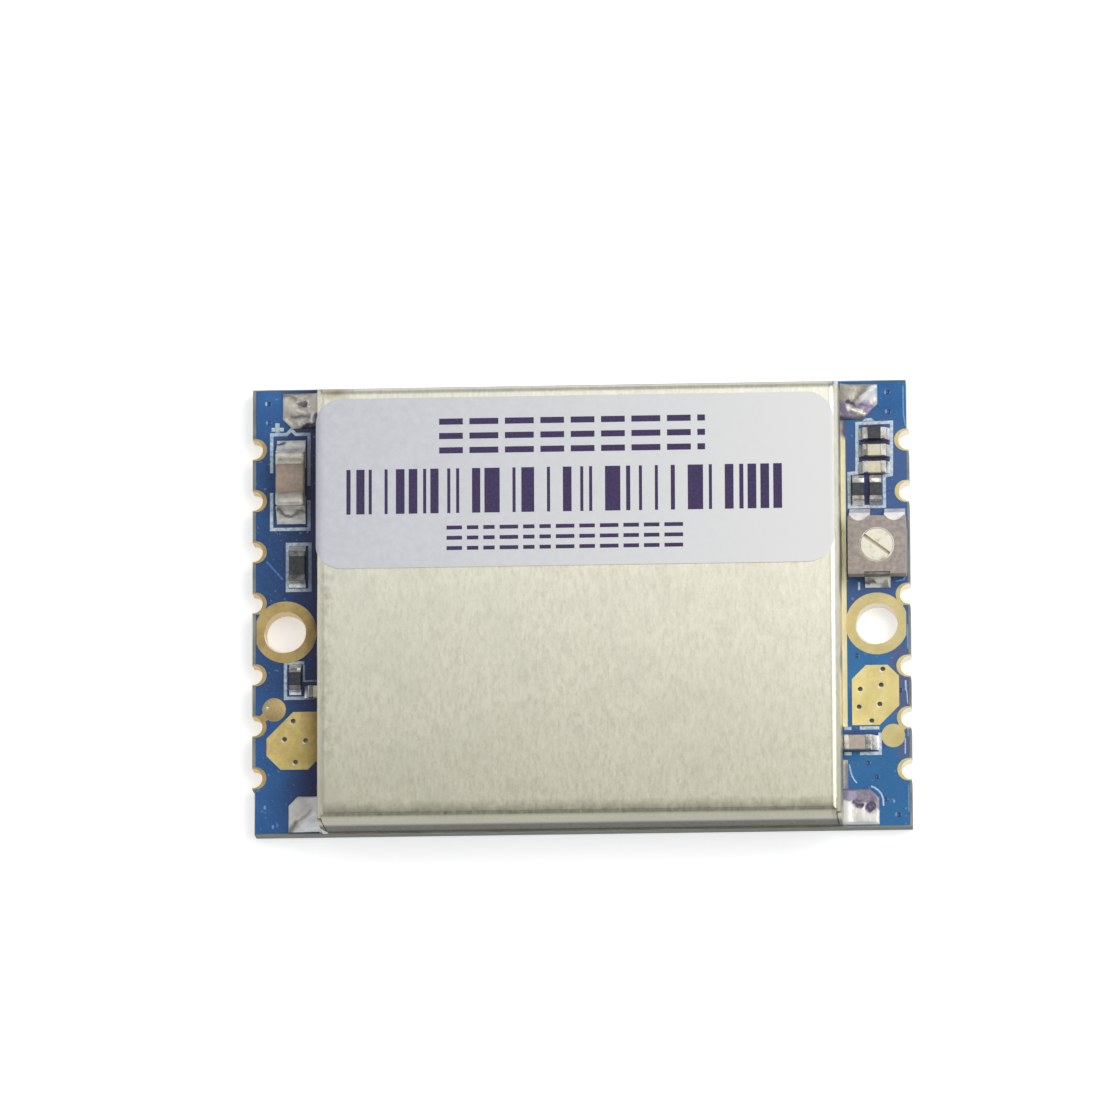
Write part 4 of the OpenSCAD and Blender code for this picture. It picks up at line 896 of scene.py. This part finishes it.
# Sticker print: a plain row of bars between two rows of plain stacked dashes
BAR_START, BAR_LAST, BAR_END = -11.1, 10.0, 10.4
BAR_FRONT, BAR_BACK = 4.02, 6.22
BAR_WIDTHS = (0.15, 0.15, 0.2, 0.4, 0.42, 0.62, 0.74)
BAR_GAPS = (0.2, 0.28, 0.4, 0.42, 0.62)
rng = random.Random(7)
bars = Flat(LABEL_TOP, INK_T)
x = BAR_START
while x < BAR_LAST:
    w = rng.choice(BAR_WIDTHS)
    bars.box(x, BAR_FRONT, min(x + w, BAR_END), BAR_BACK)
    x += w + rng.choice(BAR_GAPS)


def dashes(x0, x1, y0, y1, thick, widths, gap):
    """Short level dashes in threes from x0 to x1."""
    shortest = 0.3
    x = x0
    while x + shortest < x1:
        w = min(rng.choice(widths), x1 - x)
        for k in range(3):
            y = y0 + (y1 - y0 - thick) * k / 2
            bars.box(x, y, x + w, y + thick)
        x += w + gap


dashes(-6.6, 6.28, 6.96, 8.68, thick=0.3, widths=(0.9, 1.15, 1.4), gap=0.32)
dashes(-6.25, 5.28, 2.2, 3.4, thick=0.19, widths=(0.55, 0.75, 0.9), gap=0.24)
bars.done("sticker_print", INK)


# Solder heaped on the can's corner pads


def eased(share):
    """A quarter round from 0 to 1."""
    share = min(1.0, max(0.0, share))
    return (share * (2 - share)) ** 0.5


def corner(name, node, look, bumps, chamfer, cut, seed, lumps, fillet=0.7, run=0.35):
    """A fillet up the can's wall with bumps and pits, in place of a CAD joint.

    Each bump is x, y, radius and height. Chamfer gives the cut corner as signs of x and y, and cut
    its size. Lumps is the height of the ripples, and fillet and run the rise and reach at the wall.
    """
    low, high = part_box(node)
    x0, y0, x1, y1 = (c / MM for c in (low.x, low.y, high.x, high.y))
    wall = x1 if x0 < 0 else x0
    cells = 64
    # heights of the solder's film, of its thinnest place, of its rim and of its cut edge
    film, least, lift, skin = 0.05, 0.02, 0.01, 0.02
    # widths over which it rises from its rim and from its cut edge, and ripples to the millimetre
    rim_w, cut_w = 0.16, 0.2
    ripples, rough, finer, layers = 1.9, 0.8, 2.0, 4

    def height(x, y):
        rim = min(x - x0 if x0 < 0 else x1 - x, y - y0, y1 - y)
        rise = film + fillet * math.exp(-abs(x - wall) / run)
        at = Vector((x * ripples, y * ripples, seed))
        rise += lumps * noise.fractal(at, rough, finer, layers)
        for bx, by, r, h in bumps:
            rise += h * math.exp(-((x - bx) ** 2 + (y - by) ** 2) / (r * r))
        return lift + max(least, rise) * eased(rim / rim_w)

    verts, faces = [], []
    for j in range(cells + 1):
        for i in range(cells + 1):
            x = x0 + (x1 - x0) * i / cells
            y = y0 + (y1 - y0) * j / cells
            dx = x - x0 if chamfer[0] < 0 else x1 - x
            dy = y - y0 if chamfer[1] < 0 else y1 - y
            short = cut - dx - dy
            if short > 0:
                x -= chamfer[0] * short / 2
                y -= chamfer[1] * short / 2
            rise = (height(x, y) - skin) * eased(-short / cut_w)
            verts.append((x, y, LAND_TOP + skin + rise))
    for j in range(cells):
        for i in range(cells):
            k = j * (cells + 1) + i
            faces.append([k, k + 1, k + cells + 2, k + cells + 1])
    obj = piece(name, verts, faces, look, True)
    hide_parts(node)


corner(
    "joint_back_left", "solder_back_left", JOINT_BACK_LEFT,
    [
        (-14.1, 10.15, 0.3, 0.16), (-13.75, 9.85, 0.3, 0.18), (-13.5, 10.2, 0.18, -0.14),
        (-13.28, 10.1, 0.14, 0.12), (-14.1, 9.25, 0.22, 0.12), (-13.6, 9.58, 0.2, -0.08),
    ],
    chamfer=(-1, -1), cut=0.45, seed=3.1, lumps=0.04,
)
corner(
    "joint_back_right", "solder_back_right", JOINT_BACK_RIGHT,
    [
        (13.7, 10.0, 0.2, 0.14), (13.92, 10.2, 0.24, 0.26), (14.18, 10.42, 0.22, 0.36),
        (13.36, 9.78, 0.16, -0.14), (13.3, 9.52, 0.18, 0.12), (13.6, 9.4, 0.18, 0.14),
        (13.9, 9.28, 0.18, 0.12),
    ],
    chamfer=(1, -1), cut=0.75, seed=5.7, lumps=0.02,
)
corner(
    "joint_front_left", "solder_front_left", JOINT_FRONT_LEFT,
    [(-13.0, -10.6, 0.35, 0.3), (-13.8, -9.8, 0.4, 0.06)],
    chamfer=(-1, 1), cut=0.45, seed=8.3, lumps=0.02,
)
corner(
    "joint_front_right", "solder_front_right", JOINT_FRONT_RIGHT,
    [
        (13.28, -9.88, 0.13, -0.1), (13.48, -9.94, 0.13, -0.1), (13.98, -10.06, 0.24, -0.12),
        (13.6, -10.5, 0.6, 0.06),
    ],
    chamfer=(1, 1), cut=0.45, seed=1.9, lumps=0.01, fillet=0.3, run=0.25,
)

# Solder that runs round the can's front left corner
FILL_FRONT, FILL_FACE, FILL_BACK = -10.99, -10.97, -10.935
FILL_FOOT, FILL_HEAD = CAN_LEFT + 0.28, CAN_LEFT + 0.2
piece(
    "corner_fill",
    [
        (CAN_LEFT, FILL_FRONT, LAND_TOP), (FILL_FOOT, FILL_FRONT, LAND_TOP),
        (FILL_FOOT, FILL_BACK, LAND_TOP), (CAN_LEFT, FILL_BACK, LAND_TOP),
        (CAN_LEFT, FILL_FACE, 2.2), (FILL_HEAD, FILL_FACE, 1.4),
        (FILL_HEAD, FILL_BACK, 1.5), (CAN_LEFT, FILL_BACK, 2.4),
    ],
    [[3, 2, 1, 0], [4, 5, 6, 7], [0, 1, 5, 4], [1, 2, 6, 5], [2, 3, 7, 6], [3, 0, 4, 7]],
    JOINT_FRONT_LEFT,
)

# Solder and flux in the seams at the can's corners: thickness, reach and depth under the fold
SEAM_T = 0.08
SEAM_START, SEAM_END = 0.14, 0.78
SEAM_DROP = 0.03


def seam(verts, faces, side, end):
    """A thin upright leaf between the end of a side wall and the wall beside it, under the fold."""
    inner = SHEET_T - 0.01
    x0 = CAN_LEFT + inner if side < 0 else CAN_RIGHT - inner - SEAM_T
    edge = CAN_BACK if end > 0 else CAN_FRONT
    steps = 8
    profile = []
    for i in range(steps + 1):
        depth = SEAM_START + (SEAM_END - SEAM_START) * i / steps
        drop = max(0.0, BEND_R - depth)
        height = CAN_TOP - BEND_R - SEAM_DROP + math.sqrt(BEND_R ** 2 - drop ** 2)
        profile.append((edge - end * depth, height))
    k, n = len(verts), len(profile)
    for x in (x0, x0 + SEAM_T):
        verts += [(x, y, z) for y, z in profile]
        verts += [(x, y, z - SHEET_T) for y, z in profile]
    for i in range(n - 1):
        top, low = k + i, k + n + i
        faces.append([top, top + 1, top + 2 * n + 1, top + 2 * n])
        faces.append([low, low + 2 * n, low + 2 * n + 1, low + 1])
        faces.append([top, low, low + 1, top + 1])
        faces.append([top + 2 * n, top + 2 * n + 1, low + 2 * n + 1, low + 2 * n])
    for i in (0, n - 1):
        faces.append([k + i, k + n + i, k + 3 * n + i, k + 2 * n + i])


verts, faces = [], []
for side in (-1, 1):
    for end in (-1, 1):
        seam(verts, faces, side, end)
piece("corner_seams", verts, faces, CAN)


# The supply capacitor: round edges on its dipped ends and on the ceramic between them


def rounded(name, node, spans, radius, look):
    """Blocks with round edges in place of a node.

    Each block is its start and end along Y, and which of the two stay sharp.
    """
    touch = 1e-9
    low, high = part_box(node)
    bm = bmesh.new()
    for y0, y1, sharp in spans:
        block = bmesh.ops.create_cube(bm, size=1.0)["verts"]
        a, b = Vector((low.x, y0, low.z)), Vector((high.x, y1, high.z))
        for v in block:
            v.co = (a + b) / 2 + v.co * (b - a)
        flush = [{v for v in block if abs(v.co.y - y) < touch} for y in sharp]
        edges = {e for v in block for e in v.link_edges if not any(set(e.verts) <= f for f in flush)}
        bmesh.ops.bevel(
            bm, geom=list(edges), offset=radius * MM, segments=5, profile=0.5, affect="EDGES"
        )
    mesh = bpy.data.meshes.new(name)
    bm.to_mesh(mesh)
    bm.free()
    obj = placed(name, mesh, look, True, "module")
    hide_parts(node)


front_end, back_end = (v.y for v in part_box("supply_capacitor_ends"))
front_dip, back_dip = front_end + SUPPLY_END * MM, back_end - SUPPLY_END * MM
rounded(
    "supply_ends", "supply_capacitor_ends",
    [(front_end, front_dip, [front_dip]), (back_dip, back_end, [back_dip])], 0.17, SUPPLY_TIN,
)
rounded("supply_body", "supply_capacitor", [(front_dip, back_dip, [front_dip, back_dip])], 0.08, SUPPLY)


# Studio, in metres

FLOOR_SIZE = 3.0
CAMERA_GLOW, MIRROR_GLOW = 0.5, 0.52


def paper():
    """White paper that glows a little for the camera and in reflections, and keeps the shadow."""
    s = Surface("floor_paper", Roughness=0.9, Specular_IOR_Level=0.1)
    path = s.add("ShaderNodeLightPath").outputs
    seen, mirrored = path["Is Camera Ray"], path["Is Glossy Ray"]
    white = s.ramp(s.noise(0.01, 2.0), [(0.3, (0.79, 0.79, 0.79, 1)), (0.7, (0.81, 0.81, 0.81, 1))])
    s.colour(s.mix(seen, (0.4, 0.4, 0.4, 1), white))
    s.shader.inputs["Emission Color"].default_value = (1, 1, 1, 1)
    glow = s.maths(
        "ADD", s.maths("MULTIPLY", seen, CAMERA_GLOW), s.maths("MULTIPLY", mirrored, MIRROR_GLOW)
    )
    s.link(glow, s.shader.inputs["Emission Strength"])
    return s.material


bpy.ops.mesh.primitive_plane_add(size=FLOOR_SIZE, location=(0, 0, 0))
floor = bpy.context.object
floor.name = "floor"
floor.data.materials.append(paper())


def area(name, at, aim, size, power, colour=(1, 1, 1)):
    lamp = bpy.data.lights.new(name, "AREA")
    lamp.shape = "RECTANGLE"
    lamp.size, lamp.size_y = size
    lamp.energy = power
    lamp.color = colour
    obj = bpy.data.objects.new(name, lamp)
    obj.location = at
    obj.rotation_euler = (Vector(aim) - Vector(at)).to_track_quat("-Z", "Y").to_euler()
    bpy.context.scene.collection.objects.link(obj)


area(
    "key", at=(0.12, 0.04, 0.21), aim=(0, 0, 0), size=(0.14, 0.14), power=0.25, colour=(1.0, 0.98, 0.95)
)
area("panel", at=(-0.02, 0.1, 0.25), aim=(0, 0.02, 0), size=(0.2, 0.12), power=0.034)

# Soft surroundings: a base strength, and lobes that are added round a direction
SKY_COLOUR = (0.95, 0.97, 1.0, 1)
SKY_BASE = 0.4
SHADE = math.radians(35)
# direction, inner and outer angle in degrees, and strength
LOBES = [
    ((0.95, 0.1, 0.3), 20, 70, 0.45),
    ((-1.0, 0.0, 0.35), 15, 60, 0.4),
    ((0.0, -math.sin(SHADE), math.cos(SHADE)), 8, 28, -0.4),
    ((0.0, -1.0, 0.1), 20, 50, 0.5),
    ((-0.06, 0.18, 1.0), 8, 40, 0.1),
]
world = bpy.data.worlds.new("studio")
bpy.context.scene.world = world
world.use_nodes = True
tree = world.node_tree
sky = tree.nodes["Background"]
sky.inputs["Color"].default_value = SKY_COLOUR
way = tree.nodes.new("ShaderNodeTexCoord").outputs["Generated"]
total = None
for direction, inner, outer, amount in LOBES:
    dot = tree.nodes.new("ShaderNodeVectorMath")
    dot.operation = "DOT_PRODUCT"
    tree.links.new(way, dot.inputs[0])
    dot.inputs[1].default_value = Vector(direction).normalized()
    lobe = tree.nodes.new("ShaderNodeMapRange")
    lobe.interpolation_type = "SMOOTHSTEP"
    lobe.inputs["From Min"].default_value = math.cos(math.radians(outer))
    lobe.inputs["From Max"].default_value = math.cos(math.radians(inner))
    lobe.inputs["To Max"].default_value = amount
    tree.links.new(dot.outputs["Value"], lobe.inputs["Value"])
    step = tree.nodes.new("ShaderNodeMath")
    step.operation = "ADD"
    tree.links.new(lobe.outputs["Result"], step.inputs[0])
    if total:
        tree.links.new(total, step.inputs[1])
    else:
        step.inputs[1].default_value = SKY_BASE
    total = step.outputs["Value"]
tree.links.new(total, sky.inputs["Strength"])

# Camera: its tilt from above toward the right and the front, and the point at the picture's centre
TILT_X, TILT_Y = math.radians(3.5), math.radians(10.5)
ROLL = math.radians(0.2)
DISTANCE = 0.5
SENSOR_MM, LENS_MM = 36, 337.0
board_top = Vector((0, 0, LAND_TOP)) * MM
aim = board_top + Vector((-1.48, 2.83, 0)) * MM
camera = bpy.data.cameras.new("camera")
camera.sensor_width = SENSOR_MM
camera.lens = LENS_MM
camera.clip_start = 0.05
camera.clip_end = 20
eye = bpy.data.objects.new("camera", camera)
place = board_top + Vector((math.tan(TILT_X), -math.tan(TILT_Y), 1)).normalized() * DISTANCE
toward = (place - aim).normalized()
right = Vector((0, 1, 0)).cross(toward).normalized()
up = toward.cross(right)
across = right * math.cos(ROLL) - up * math.sin(ROLL)
upward = right * math.sin(ROLL) + up * math.cos(ROLL)
turn = Matrix((across, upward, toward)).transposed().to_4x4()
eye.matrix_world = Matrix.Translation(place) @ turn
bpy.context.scene.collection.objects.link(eye)
bpy.context.scene.camera = eye
bpy.context.scene.view_settings.view_transform = "Standard"
